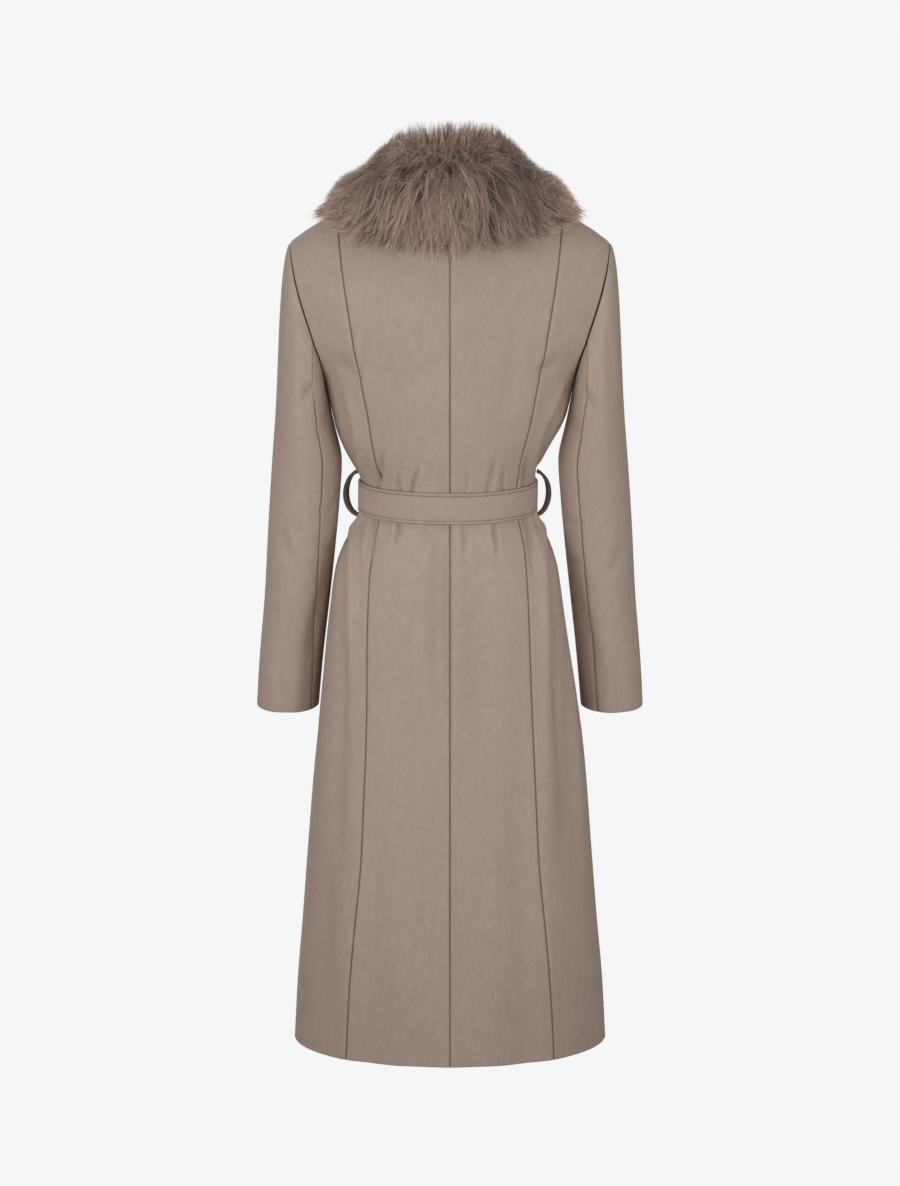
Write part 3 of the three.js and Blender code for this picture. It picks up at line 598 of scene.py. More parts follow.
@dataclass(frozen=True)
class WoolFinish:
    """The coat's wool: taupe felt with a soft sheen where it turns away, darker by the attribute dark:
    painted shade in its seams and along the belt's edges."""

    name: str = "taupe wool"
    colour: tuple[float, float, float] = (0.405, 0.311, 0.258)
    mottle: float = 0.4
    relief: float = 0.32
    sheen: float = 0.25
    sheen_roughness: float = 0.5
    sheen_tint: tuple[float, float, float] = (0.75, 0.62, 0.54)
    roughness: float = 0.92
    specular: float = 0.2

    def build(self, felt: NodeTree) -> Material:
        """The material, a Principled shader over the felt group."""
        material, shader = principled(
            self.name, Roughness=self.roughness, Specular_IOR_Level=self.specular, Sheen_Weight=self.sheen,
            Sheen_Roughness=self.sheen_roughness, Sheen_Tint=(*self.sheen_tint, 1.0))
        tree = material.node_tree
        surface = node(tree, "ShaderNodeGroup")
        surface.node_tree = felt
        surface.inputs["Mottle"].default_value = self.mottle
        surface.inputs["Relief"].default_value = self.relief
        tint = node(tree, "ShaderNodeVectorMath", operation="SCALE")
        tint.inputs[0].default_value = self.colour
        # The attribute dark takes painted shade off the colour, in the seams and along the belt's edges
        seam = node(tree, "ShaderNodeAttribute", attribute_name="dark")
        shade = node(tree, "ShaderNodeMath", operation="SUBTRACT")
        tree.links.new(surface.outputs["Shade"], shade.inputs[0])
        tree.links.new(seam.outputs["Fac"], shade.inputs[1])
        tree.links.new(shade.outputs[0], tint.inputs["Scale"])
        tree.links.new(tint.outputs["Vector"], shader.inputs["Base Color"])
        tree.links.new(surface.outputs["Normal"], shader.inputs["Normal"])
        return material


@dataclass(frozen=True)
class ThreadFinish:
    """Sewing thread, a shade darker than the wool."""

    name: str = "sewing thread"
    colour: tuple[float, float, float] = (0.25, 0.18, 0.15)
    roughness: float = 0.6
    specular: float = 0.3

    def build(self) -> Material:
        """The material."""
        return principled(self.name, Base_Color=(*self.colour, 1.0), Roughness=self.roughness,
                          Specular_IOR_Level=self.specular)[0]


@dataclass(frozen=True)
class FurFinish:
    """Fur: dark at the root, brown-grey along the hair, light at the tip: partly the hair's own colour,
    partly painted shade deep in the fur and painted light on the tips.
    """

    name: str = "long fur"
    root: tuple[float, float, float] = (0.078, 0.048, 0.038)
    middle: tuple[float, float, float] = (0.38, 0.262, 0.212)
    tip: tuple[float, float, float] = (0.64, 0.47, 0.39)
    middle_at: float = 0.42
    roughness: float = 0.55
    specular: float = 0.35
    sheen: float = 0.15
    sheen_roughness: float = 0.45

    def build(self) -> Material:
        """The material, which reads the hair attributes along and tone."""
        material, shader = principled(
            self.name, Roughness=self.roughness, Specular_IOR_Level=self.specular, Sheen_Weight=self.sheen,
            Sheen_Roughness=self.sheen_roughness)
        tree = material.node_tree
        along = node(tree, "ShaderNodeAttribute", attribute_name="along")
        tone = node(tree, "ShaderNodeAttribute", attribute_name="tone")
        ramp = node(tree, "ShaderNodeValToRGB")
        ramp.color_ramp.elements[0].color = (*self.root, 1.0)
        ramp.color_ramp.elements[1].color = (*self.tip, 1.0)
        middle = ramp.color_ramp.elements.new(self.middle_at)
        middle.color = (*self.middle, 1.0)
        scale = node(tree, "ShaderNodeVectorMath", operation="SCALE")
        tree.links.new(along.outputs["Fac"], ramp.inputs["Fac"])
        tree.links.new(ramp.outputs["Color"], scale.inputs[0])
        tree.links.new(tone.outputs["Fac"], scale.inputs["Scale"])
        tree.links.new(scale.outputs["Vector"], shader.inputs["Base Color"])
        return material


# Folds

# How far a fold reaches and where its ridge stands, in widths, and the share of its path it fades over
FOLD_REACH, RIDGE_AWAY, RIDGE_WIDTH, FOLD_FADE = 4.5, 1.7, 1.15, 0.38


class Face(Enum):
    """The half of a garment piece that a fold lies on."""

    BACK = "back"
    FRONT = "front"


@dataclass(frozen=True)
class Fold:
    """A soft crease along a path.

    Across the path the cloth sinks by depth times a bell curve of the given width, and on one
    side it rises again by the ridge's share of that. Along it the crease comes in and fades,
    down to the given shares of its depth at the two ends.
    """

    path: tuple[tuple[float, float], ...]
    depth: float
    width: float
    face: Face = Face.BACK
    ridge: float = 0.35
    starts: float = 0.0
    ends: float = 0.0


class Creases:
    """Folds laid on a garment piece, as paths in space."""

    def __init__(self, folds: list[Fold], place: Callable[[Face, Array], Array]) -> None:
        """Keeps the folds and finds their paths in space: place turns a path's rows into points."""
        self.folds = folds
        self.paths = [place(fold.face, self.smooth_path(fold.path)) for fold in folds]

    @staticmethod
    def smooth_path(path: tuple[tuple[float, float], ...], count: int = 21) -> Array:
        """Points along a smooth curve through the path's rows."""
        rows = np.array(path, float)
        step = tuple(np.linspace(0.0, 1.0, len(rows)))
        at = np.linspace(0.0, 1.0, count)
        return np.stack([Curve(step, tuple(rows[:, k])).at(at) for k in range(2)], axis=-1)

    def press(self, points: Array, normals: Array) -> Array:
        """How far the folds move each point along its outward direction.

        Args:
            points: places on the smooth form.
            normals: outward directions there.

        Returns:
            Distances in millimetres, below 0 where the cloth sinks.
        """
        flat, out = points.reshape(-1, 3), normals.reshape(-1, 3)
        move = np.zeros(len(flat))
        for fold, path in zip(self.folds, self.paths):
            reach = FOLD_REACH * fold.width
            near = np.all((flat > path.min(axis=0) - reach) & (flat < path.max(axis=0) + reach), axis=1)
            if near.any():
                move[near] += self.one(fold, path, flat[near], out[near])
        return move.reshape(points.shape[:-1])

    @staticmethod
    def one(fold: Fold, path: Array, points: Array, normals: Array) -> Array:
        """One fold's movement of the points near its path."""
        start, span = path[:-1], np.diff(path, axis=0)
        off = points[:, None, :] - start
        t = np.clip((off * span).sum(-1) / (span * span).sum(-1), 0.0, 1.0)
        gap = off - t[..., None] * span
        size = np.linalg.norm(gap, axis=-1)
        pick = size.argmin(axis=1)
        rows = np.arange(len(points))
        away, gap, t = size[rows, pick], gap[rows, pick], t[rows, pick]
        side = (gap * np.cross(unit(span)[pick], normals)).sum(-1)
        beyond = np.sqrt(np.maximum(away**2 - side**2, 0.0))
        along = (pick + t) / len(span)
        strength = (mix(fold.starts, 1.0, ease(along / FOLD_FADE))
                    * mix(fold.ends, 1.0, ease((1.0 - along) / FOLD_FADE)))
        trough = bell(away, fold.width)
        beside = side - np.sign(fold.ridge) * RIDGE_AWAY * fold.width
        swell = abs(fold.ridge) * bell(beside, RIDGE_WIDTH * fold.width) * bell(beyond, fold.width)
        return -fold.depth * strength * (trough - swell)


def ripple(points: Array, size: float, length: float, seed: int) -> Array:
    """A faint unevenness of the cloth: a sum of sine waves of random direction and phase.

    Args:
        points: places in millimetres.
        size: the waves' height in all.
        length: the middle wave's length.
        seed: the random numbers' seed.

    Returns:
        Distances in millimetres.
    """
    waves, gain = 7, 1.6
    rng = np.random.default_rng(seed)
    ways = unit(rng.normal(size=(waves, 3)) * np.array([1.0, 1.0, 0.6]))
    pace = 2.0 * math.pi / (length * rng.uniform(0.6, 1.6, waves))
    phase = rng.uniform(0.0, 2.0 * math.pi, waves)
    return size * np.sin((points @ ways.T) * pace + phase).mean(axis=-1) * gain


# Cloth panels

# Distances of the rows of points close to a panel's edge, and where the even rows begin
EDGE_STEPS = np.array([0.0, 0.4, 0.8, 1.3, 2.2, 5.0])
EDGE_BAND = 8.0


class Edge(Enum):
    """How a panel's edge is made."""

    SEAM = "sewn to the next panel"
    FREE = "folded over, in view"
    TUCKED = "under another piece"


@dataclass(frozen=True)
class Edges:
    """A panel's four edges: first and last column, top and bottom row."""

    first: Edge = Edge.SEAM
    last: Edge = Edge.SEAM
    top: Edge = Edge.SEAM
    bottom: Edge = Edge.FREE


def spread_rows(lengths: Array, count: int) -> Array:
    """Distances along rows of the given lengths: a few close to both ends, the rest even.

    Args:
        lengths: one length for each row.
        count: how many even ones lie between.

    Returns:
        A table with a row of distances for each length.
    """
    size = lengths[:, None]
    near = np.broadcast_to(EDGE_STEPS, (len(lengths), len(EDGE_STEPS)))
    middle = mix(EDGE_BAND, size - EDGE_BAND, np.linspace(0.0, 1.0, count)[None, :])
    return np.concatenate([near, middle, size - near[:, ::-1]], axis=1)


def lengths_along(points: Array) -> Array:
    """Running lengths along each row of points."""
    steps = np.linalg.norm(np.diff(points, axis=1), axis=-1)
    return np.concatenate([np.zeros((len(points), 1)), np.cumsum(steps, axis=1)], axis=1)


@dataclass(frozen=True)
class Cloth:
    """How cloth is laid over a form: its wall, the spacing of its points, and its sewn edges, a groove with a
    slight swell beside it and painted shade in it. deepen scales the folds of the body panels."""

    wall: float = 2.2
    spacing: float = 4.4
    row_spacing: float = 6.4
    seam_gap: float = 0.03
    seam_depth: float = 1.8
    seam_width: float = 0.95
    # painted shade at the seam line, as wide as the groove
    seam_painted_shade: float = 0.45
    puff: float = 0.35
    puff_at: float = 6.0
    puff_width: float = 3.2
    inner_curl: float = 0.35
    edge_curl: float = 0.45
    deepen: float = 1.3
    edge_round: float = 1.2
    fine_rows: int = 700
    fine_columns: int = 121

    def sink(self, kind: Edge, away: Array) -> tuple[Array, Array]:
        """How far the outer and inner face draw in near an edge.

        Args:
            kind: the edge's make.
            away: distances from the edge.

        Returns:
            Distances for the outer and for the inner face.
        """
        curl = np.clip(1.0 - away / self.edge_round, 0.0, 1.0) ** 2
        if kind is Edge.SEAM:
            groove = self.seam_depth * bell(away, self.seam_width)
            return groove - self.puff * bell(away - self.puff_at, self.puff_width), self.inner_curl * curl
        round_off = self.edge_curl * self.wall * curl
        return round_off, round_off

    def lay(self, surface: Callable[[Array, Array], Array], ends: Callable[[Array], tuple[Array, Array]],
            span: tuple[float, float], edges: Edges, keep: tuple[float, ...] = ()) -> "Sheet":
        """Lays a grid over part of a form, even in distance and finer at its edges.

        Args:
            surface: points of the form by its two parameters.
            ends: the first parameter at both edges of rows of the second one.
            span: the second parameter's first and last value.
            edges: how the edges are made.
            keep: values of the second parameter that get a row of their own.

        Returns:
            The grid with its distances from the edges.
        """
        fine = np.linspace(span[0], span[1], self.fine_rows)
        first, last = ends(fine)
        down = surface((first + last) / 2.0, fine)[None]
        run = lengths_along(down)
        tall = run[0, -1]
        count = max(int(round((tall - 2 * EDGE_BAND) / self.row_spacing)), 2)
        rows = np.interp(spread_rows(np.array([tall]), count)[0], run[0], fine)
        for value in keep:
            rows[np.abs(rows - value).argmin()] = value
        first, last = ends(rows)
        share = np.linspace(0.0, 1.0, self.fine_columns)
        across = mix(first[:, None], last[:, None], share)
        run = lengths_along(surface(across, np.broadcast_to(rows[:, None], across.shape)))
        size = run[:, -1]
        count = max(int(round((size.max() - 2 * EDGE_BAND) / self.spacing)), 2)
        places = spread_rows(size, count)
        drawn = [self.seam_gap / 2.0 if kind is Edge.SEAM else 0.0 for kind in (edges.first, edges.last)]
        inset = mix(drawn[0], size[:, None] - drawn[1], places / size[:, None])
        # One interpolation for all rows: each row's distances are shifted clear of the last one's
        clear = 50.0
        shift = (np.arange(len(rows)) * (size.max() + clear))[:, None]
        turn = np.interp((inset + shift).ravel(), (run + shift).ravel(), across.ravel())
        turn = turn.reshape(places.shape)
        table = np.broadcast_to(rows[:, None], turn.shape)
        points = surface(turn, table)
        tops = lengths_along(points.transpose(1, 0, 2)).T
        return Sheet(points, turn, table, places, size[:, None] - places, tops, tops[-1] - tops, edges)


@dataclass
class Sheet:
    """A grid laid over a form, with each point's distances from the four edges."""

    points: Array
    turn: Array
    row: Array
    from_first: Array
    from_last: Array
    from_top: Array
    from_bottom: Array
    edges: Edges

    def edge_pairs(self) -> list[tuple[Edge, Array]]:
        """Each edge's make with the points' distances from it."""
        return [(self.edges.first, self.from_first), (self.edges.last, self.from_last),
                (self.edges.top, self.from_top), (self.edges.bottom, self.from_bottom)]

    def normals(self, sign: float = 1.0) -> Array:
        """Outward directions, from the grid's own slopes: columns cross rows, times sign."""
        across = np.gradient(self.points, axis=1)
        down = np.gradient(self.points, axis=0)
        return unit(np.cross(across, down)) * sign

    def sunk(self, cloth: Cloth) -> tuple[Array, Array]:
        """How far the outer and inner face draw in, from all four edges."""
        most = 0.8 * cloth.wall
        drawn = [cloth.sink(kind, away) for kind, away in self.edge_pairs()]
        outer = sum(np.where(pair[0] > 0, pair[0], 0.0) for pair in drawn)
        outer = np.minimum(outer, most) + sum(np.minimum(pair[0], 0.0) for pair in drawn)
        inner = np.maximum.reduce([pair[1] for pair in drawn])
        return outer, inner

    def shade(self, cloth: Cloth) -> Array:
        """Painted shade in the seams: how much darker the cloth is painted there, a bell curve off each sewn
        edge.
        """
        sewn = [bell(away, cloth.seam_width) for kind, away in self.edge_pairs() if kind is Edge.SEAM]
        return cloth.seam_painted_shade * np.maximum.reduce(sewn) if sewn else np.zeros_like(self.from_first)


def shell(name: str, sheet: Sheet, normals: Array, move: Array, cloth: Cloth, flipped: bool,
          material: Material) -> Piece:
    """A closed thin wall over a sheet.

    Args:
        name: the object's name.
        sheet: the grid on the smooth form.
        normals: outward directions.
        move: how far the folds move each point.
        cloth: the cloth's wall and edges.
        flipped: true if the grid's winding looks inwards.
        material: the finish.

    Returns:
        The object.
    """
    outer_sink, inner_sink = sheet.sunk(cloth)
    outer = sheet.points + normals * (move - outer_sink)[..., None]
    inner = sheet.points + normals * (move - cloth.wall + inner_sink)[..., None]
    points = np.concatenate([outer.reshape(-1, 3), inner.reshape(-1, 3)])
    # painted shade in the seams, on the outer face only
    dark = np.concatenate([sheet.shade(cloth).ravel(), np.zeros(inner[..., 0].size)])
    return make_mesh(name, points, shell_faces(*outer.shape[:2], flipped), material, {"dark": dark})


# The coat's folds, as distances from the middle (+ is the wearer's left) and heights

BACK_FOLDS = [
    # From under each arm towards the waist
    Fold(((150, -236), (136, -290), (121, -350)), 6.4, 9.5, ridge=-0.6, ends=0.4),
    Fold(((-158, -232), (-147, -266), (-134, -304)), 5.4, 8.5, ridge=0.5),
    Fold(((-137, -280), (-126, -326), (-116, -374)), 5.6, 8.5, ridge=0.6, ends=0.6),
    Fold(((150, -205), (133, -214), (112, -236)), 3.0, 10.0),
    Fold(((-148, -196), (-128, -212), (-104, -222)), 2.5, 9.0),
    # Down from the collar over the blades
    Fold(((96, -130), (88, -205), (70, -275)), 2.5, 17.0, ridge=0.5),
    Fold(((-84, -135), (-82, -220), (-62, -290)), 2.1, 15.0, ridge=-0.5),
    Fold(((30, -120), (24, -200), (27, -290)), 1.5, 13.0),
    # Gathers above the belt
    Fold(((50, -380), (46, -362), (39, -340)), 4.4, 3.0, starts=0.95, ridge=0.5),
    Fold(((64, -380), (66, -366), (64, -350)), 3.2, 2.6, starts=0.95),
    Fold(((-50, -380), (-57, -352), (-60, -330)), 3.0, 3.6, starts=0.9),
    Fold(((92, -380), (88, -352), (84, -318)), 4.6, 4.0, starts=0.9, ridge=0.5),
    Fold(((-97, -380), (-98, -358), (-104, -330)), 4.6, 4.0, starts=0.9, ridge=-0.5),
    Fold(((-72, -380), (-70, -364), (-74, -346)), 3.4, 2.8, starts=0.95),
    Fold(((14, -380), (11, -364), (13, -346)), 2.2, 3.0, starts=0.8),
    Fold(((-20, -380), (-24, -362), (-22, -342)), 2.4, 3.0, starts=0.8),
    # Gathers below the belt
    Fold(((66, -412), (68, -428), (74, -450)), 4.4, 3.2, starts=0.95, ridge=0.5),
    Fold(((31, -412), (34, -430), (33, -452)), 2.6, 3.2, starts=0.9),
    Fold(((-18, -412), (-20, -432), (-17, -468)), 2.8, 4.2, starts=0.9),
    Fold(((-58, -412), (-60, -432), (-66, -462)), 3.8, 3.4, starts=0.95),
    Fold(((96, -412), (102, -440), (104, -490)), 3.6, 5.5, starts=0.9, ridge=0.5),
    Fold(((-99, -412), (-108, -444), (-112, -500)), 3.8, 5.5, starts=0.9, ridge=-0.5),
    Fold(((-126, -414), (-134, -470), (-140, -570), (-145, -760)), 8.5, 10.0, starts=0.75, ridge=0.8),
    Fold(((127, -414), (134, -468), (138, -560), (142, -740)), 7.5, 9.5, starts=0.75, ridge=-0.8),
    # Long soft ones down the skirt
    Fold(((10, -415), (15, -520), (12, -740)), 7.0, 13.0, starts=0.5, ridge=-0.6),
    Fold(((-38, -470), (-44, -600), (-40, -790)), 2.3, 17.0, ridge=-0.5),
    Fold(((62, -480), (66, -640), (58, -860)), 2.1, 18.0, ridge=0.6),
    Fold(((142, -640), (147, -760), (150, -900)), 3.2, 13.0, ridge=-0.5),
    Fold(((-142, -640), (-149, -740), (-153, -920)), 4.0, 13.0, ridge=0.5),
    Fold(((-152, -560), (-161, -720), (-172, -960)), 3.0, 13.0, ridge=-0.5),
    Fold(((88, -700), (97, -880), (108, -1150)), 3.0, 24.0, ridge=0.6, ends=0.5),
    Fold(((-86, -660), (-96, -860), (-103, -1150)), 3.4, 23.0, ridge=-0.6, ends=0.5),
    Fold(((26, -760), (33, -930), (41, -1150)), 2.0, 23.0, ridge=0.6, ends=0.4),
    Fold(((-22, -820), (-30, -980), (-34, -1150)), 1.8, 21.0, ridge=-0.5, ends=0.4),
    Fold(((160, -860), (166, -980), (170, -1100)), 2.6, 18.0, ridge=-0.6),
]
FRONT_FOLDS = [replace(fold, face=Face.FRONT) for fold in (
    # From under each arm over the bust to the knot
    Fold(((140, -250), (92, -300), (34, -368)), 3.4, 9.0, ridge=0.5),
    Fold(((-139, -244), (-98, -286), (-52, -352)), 3.9, 9.5, ridge=-0.5),
    Fold(((-146, -268), (-112, -318), (-70, -374)), 2.9, 8.0, ridge=-0.4, ends=0.5),
    Fold(((128, -290), (104, -330), (74, -376)), 2.8, 7.5, ridge=0.4, ends=0.5),
    Fold(((-60, -205), (-48, -270), (-20, -340)), 2.4, 12.0, ridge=0.5),
    Fold(((74, -210), (66, -270), (40, -335)), 2.1, 12.0, ridge=-0.5),
    # Gathers at the belt
    Fold(((-30, -380), (-27, -356), (-20, -332)), 2.2, 4.2, starts=0.8),
    Fold(((-86, -380), (-88, -356), (-94, -330)), 2.7, 4.6, starts=0.9),
    Fold(((60, -380), (62, -358), (70, -338)), 2.1, 4.0, starts=0.8),
    Fold(((96, -380), (99, -352), (104, -326)), 2.7, 4.8, starts=0.9),
    Fold(((-22, -412), (-28, -440), (-30, -492)), 2.7, 5.0, starts=0.9),
    Fold(((-66, -412), (-74, -440), (-84, -500)), 2.8, 5.5, starts=0.9),
    Fold(((-104, -412), (-117, -446), (-128, -520)), 3.2, 6.5, starts=0.9, ridge=0.5),
    Fold(((48, -412), (52, -442), (62, -498)), 2.5, 5.0, starts=0.9),
    Fold(((98, -412), (108, -446), (122, -512)), 3.1, 6.0, starts=0.9, ridge=-0.5),
    # Long soft ones down the skirt
    Fold(((-34, -480), (-40, -640), (-30, -880)), 3.4, 15.0, ridge=0.6),
    Fold(((-92, -520), (-104, -700), (-108, -940)), 3.9, 17.0, ridge=-0.6),
    Fold(((-140, -560), (-152, -740), (-160, -960)), 3.6, 14.0, ridge=0.5),
    Fold(((18, -520), (24, -700), (36, -900)), 2.9, 16.0, ridge=-0.5),
    Fold(((120, -560), (134, -740), (143, -980)), 4.1, 15.0, ridge=-0.6),
    Fold(((-62, -860), (-70, -1000), (-72, -1150)), 3.5, 19.0, ridge=0.6, ends=1.0),
    Fold(((-128, -900), (-140, -1030), (-148, -1150)), 3.8, 18.0, ridge=-0.6, ends=1.0),
    Fold(((98, -880), (112, -1020), (124, -1150)), 3.2, 19.0, ridge=0.6, ends=1.0),
    Fold(((22, -900), (20, -1030), (12, -1150)), 2.8, 18.0, ridge=0.5, ends=1.0),
)]


class CoatBody:
    """The coat's six body panels on the coat form."""

    def __init__(self, form: CoatForm, cloth: Cloth, wool: Material) -> None:
        """Keeps the form, the cloth and its finish, and lays the folds' paths on the form."""
        self.form, self.cloth, self.wool = form, cloth, wool
        self.creases = Creases(BACK_FOLDS + FRONT_FOLDS, self.place)

    def place(self, face: Face, rows: Array) -> Array:
        """Points of the outer face by distance from the middle and height."""
        form = self.form
        back = np.full(len(rows), face is Face.BACK)
        side, z = np.abs(rows[:, 0]), rows[:, 1]
        over = np.ones(len(rows))
        rounds = 4
        for _ in range(rounds):
            share = np.minimum(side / form.armhole_top.at(over), 1.0)
            top = form.ridge(back, share)[1]
            lift = np.clip((z - BLADE_Z) / (top - BLADE_Z), 0.0, 1.0)
            over = np.arccos(lift ** (1.0 / form.shoulder_round)) / QUARTER
        high = z > BLADE_Z
        row = np.where(high, SHOULDER_ROWS * over, form.row_at(np.minimum(z, BLADE_Z)))
        turn = np.where(high, form.turn_of_share(back, share, row), form.turn_at(back, side, row))
        points = form.torso(turn, row)
        return form.swayed(np.where((rows[:, 0] < 0)[:, None], mirrored(points), points))

    def panel(self, name: str, ends: Callable[[Array], tuple[Array, Array]], edges: Edges,
              right: bool, under: bool = False) -> Piece:
        """Builds one panel as a closed wall with its folds.

        Args:
            name: the frame's node that it stands for.
            ends: the turn of its first and last edge on rows.
            edges: how its edges are made.
            right: true on the wearer's right.
            under: true if it sinks to lie under the other front.

        Returns:
            The panel.
        """
        form = self.form
        sheet = self.cloth.lay(form.torso, ends, (0.0, float(LAST_ROW)), edges, keep=(UNDERARM_ROW,))
        behind = np.where(sheet.turn <= QUARTER, 1.0, -1.0)
        shoulder = np.maximum(1.0 - sheet.row, 0.0) * self.cloth.seam_gap / 2.0
        sheet.points[..., 1] += behind * shoulder
        lap = form.under_lap(sheet.points[..., 0], sheet.row) if under else 0.0
        sheet.points = form.swayed(mirrored(sheet.points) if right else sheet.points)
        normals = sheet.normals(-1.0 if right else 1.0)
        move = self.cloth.deepen * self.creases.press(sheet.points, normals)
        move += ripple(sheet.points, size=0.7, length=210.0, seed=5) - lap
        made = shell(f"{name}_cloth", sheet, normals, move, self.cloth, right, self.wool)
        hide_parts(name)
        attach(made, ROOT)
        return made

    def build(self) -> list[Piece]:
        """Builds the six panels."""
        form = self.form
        made = []
        for right in (False, True):
            side = "right" if right else "left"
            made.append(self.panel(
                f"back_centre_{side}", lambda row: (np.zeros_like(row), form.princess_turn(row)),
                Edges(), right))
            made.append(self.panel(
                f"back_side_{side}", lambda row: (form.princess_turn(row), form.side_turn(True, row)),
                Edges(), right))
            made.append(self.panel(
                f"front_{side}", lambda row: (form.side_turn(False, row), form.front_edge_turn(row)),
                Edges(last=Edge.FREE), right, under=not right))
            LOG.info("body panels of the %s side built", side)
        return made


SLEEVE_FOLDS = [
    # Paths as columns round the sleeve and lengths along it, the left sleeve's back first
    Fold(((6.6, 0.35), (5.6, 0.62), (4.3, 0.86)), 3.6, 7.5, ridge=0.5),
    Fold(((8.1, 0.62), (6.9, 0.9), (5.6, 1.02)), 3.4, 7.0, ridge=0.4),
    Fold(((3.6, 0.2), (3.1, 0.5), (2.9, 0.85)), 2.2, 9.0, ridge=-0.5),
    Fold(((8.3, 1.2), (6.8, 1.28), (5.2, 1.26)), 3.2, 7.0, ridge=0.5),
    Fold(((8.5, 1.36), (7.0, 1.42), (5.8, 1.38)), 2.8, 6.5, ridge=0.4),
    Fold(((2.0, 1.3), (3.1, 1.42), (4.4, 1.47)), 2.4, 9.0, ridge=-0.4),
    Fold(((6.9, 1.5), (6.0, 1.66), (5.4, 1.84)), 2.7, 9.0, ridge=0.5),
    Fold(((3.0, 1.6), (3.5, 1.76), (3.4, 2.0)), 2.1, 10.0, ridge=-0.4, ends=0.8),
    Fold(((10.4, 0.5), (11.6, 0.74), (12.8, 0.88)), 3.6, 7.5, ridge=0.5),
    Fold(((9.6, 1.26), (11.2, 1.32), (13.4, 1.27)), 4.5, 7.5, ridge=0.5),
    Fold(((9.8, 1.4), (11.8, 1.45), (13.2, 1.43)), 3.6, 7.0, ridge=0.4),
    Fold(((10.8, 1.12), (12.3, 1.16), (14.2, 1.1)), 2.9, 7.0, ridge=-0.4),
    Fold(((12.2, 1.55), (13.2, 1.7), (13.6, 1.9)), 2.5, 9.0, ridge=0.5),
    Fold(((15.4, 0.25), (14.9, 0.6), (14.2, 0.9)), 2.4, 9.0, ridge=0.4),
]


@dataclass(frozen=True)
class SleevePiece:
    """One piece of a sleeve: its first and last column, its cloth's flat size and area, in metres."""

    name: str
    columns: tuple[float, float]
    flat: tuple[float, float]
    area: float

    def ends(self, row: Array) -> tuple[Array, Array]:
        """The piece's two edges on rows."""
        return np.full_like(row, self.columns[0]), np.full_like(row, self.columns[1])


SLEEVE_PIECES = (SleevePiece("upper", (12.0, 24.0), (0.290, 0.600), 0.1300),
                 SleevePiece("under", (6.0, 12.0), (0.150, 0.480), 0.0600))


@dataclass(frozen=True)
class SleeveSizes:
    """How far the right sleeve's folds are shifted along and round it and how deep they are,
    which lengths may shift, where the cuff is, and how far from the armhole the folds are full."""

    right_shift: float = 0.05
    right_shift_round: float = 0.2
    right_scale: float = 0.85
    movable: tuple[float, float] = (0.2, 1.9)
    cuff: float = 2.0
    calm_top: float = 25.0


class Sleeves:
    """Two sleeves of an upper and an under piece each."""

    def __init__(self, form: SleeveForm, cloth: Cloth, wool: Material) -> None:
        """Keeps the form, the cloth and its finish."""
        self.form, self.cloth, self.wool, self.sizes = form, cloth, wool, SleeveSizes()

    def surface(self, right: bool) -> Callable[[Array, Array], Array]:
        """A sleeve's form with columns past 18 counted on from 0."""
        form = replace(self.form, turned=0.0 if right else 1.0)
        return lambda column, length: form.surface(np.mod(column, form.around), length)

    def creases(self, right: bool) -> Creases:
        """The sleeve's folds. The right sleeve's lie a little further round and down and are
        shallower, but those at the armhole and the cuff keep their height."""
        surface, sizes = self.surface(right), self.sizes

        def moved(column: float, length: float) -> tuple[float, float]:
            """A fold's row where the right sleeve has it."""
            down = sizes.right_shift if sizes.movable[0] < length < sizes.movable[1] else 0.0
            return column + sizes.right_shift_round, min(length + down, sizes.cuff)

        folds = SLEEVE_FOLDS
        if right:
            folds = [replace(fold, path=tuple(moved(*row) for row in fold.path),
                             depth=fold.depth * sizes.right_scale) for fold in folds]
        return Creases(folds, lambda _face, rows: surface(rows[:, 0], rows[:, 1]))

    def build(self) -> list[Piece]:
        """Builds the four pieces."""
        made = []
        for right in (False, True):
            side = "right" if right else "left"
            creases = self.creases(right)
            for piece in SLEEVE_PIECES:
                sheet = self.cloth.lay(self.surface(right), piece.ends, (0.0, self.sizes.cuff),
                                       Edges(top=Edge.TUCKED), keep=(1.0,))
                normals = sheet.normals(-1.0)
                move = creases.press(sheet.points, normals)
                move += ripple(sheet.points, size=0.5, length=150.0, seed=11 if right else 7)
                move *= ease(sheet.from_top / self.sizes.calm_top)
                if right:
                    sheet.points, normals = mirrored(sheet.points), mirrored(normals)
                name = f"sleeve_{piece.name}_{side}"
                made.append(shell(f"{name}_cloth", sheet, normals, move, self.cloth, not right, self.wool))
                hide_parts(name)
                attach(made[-1], ROOT)
            LOG.info("%s sleeve built", side)
        return made


# Belt, loops, knot and tails

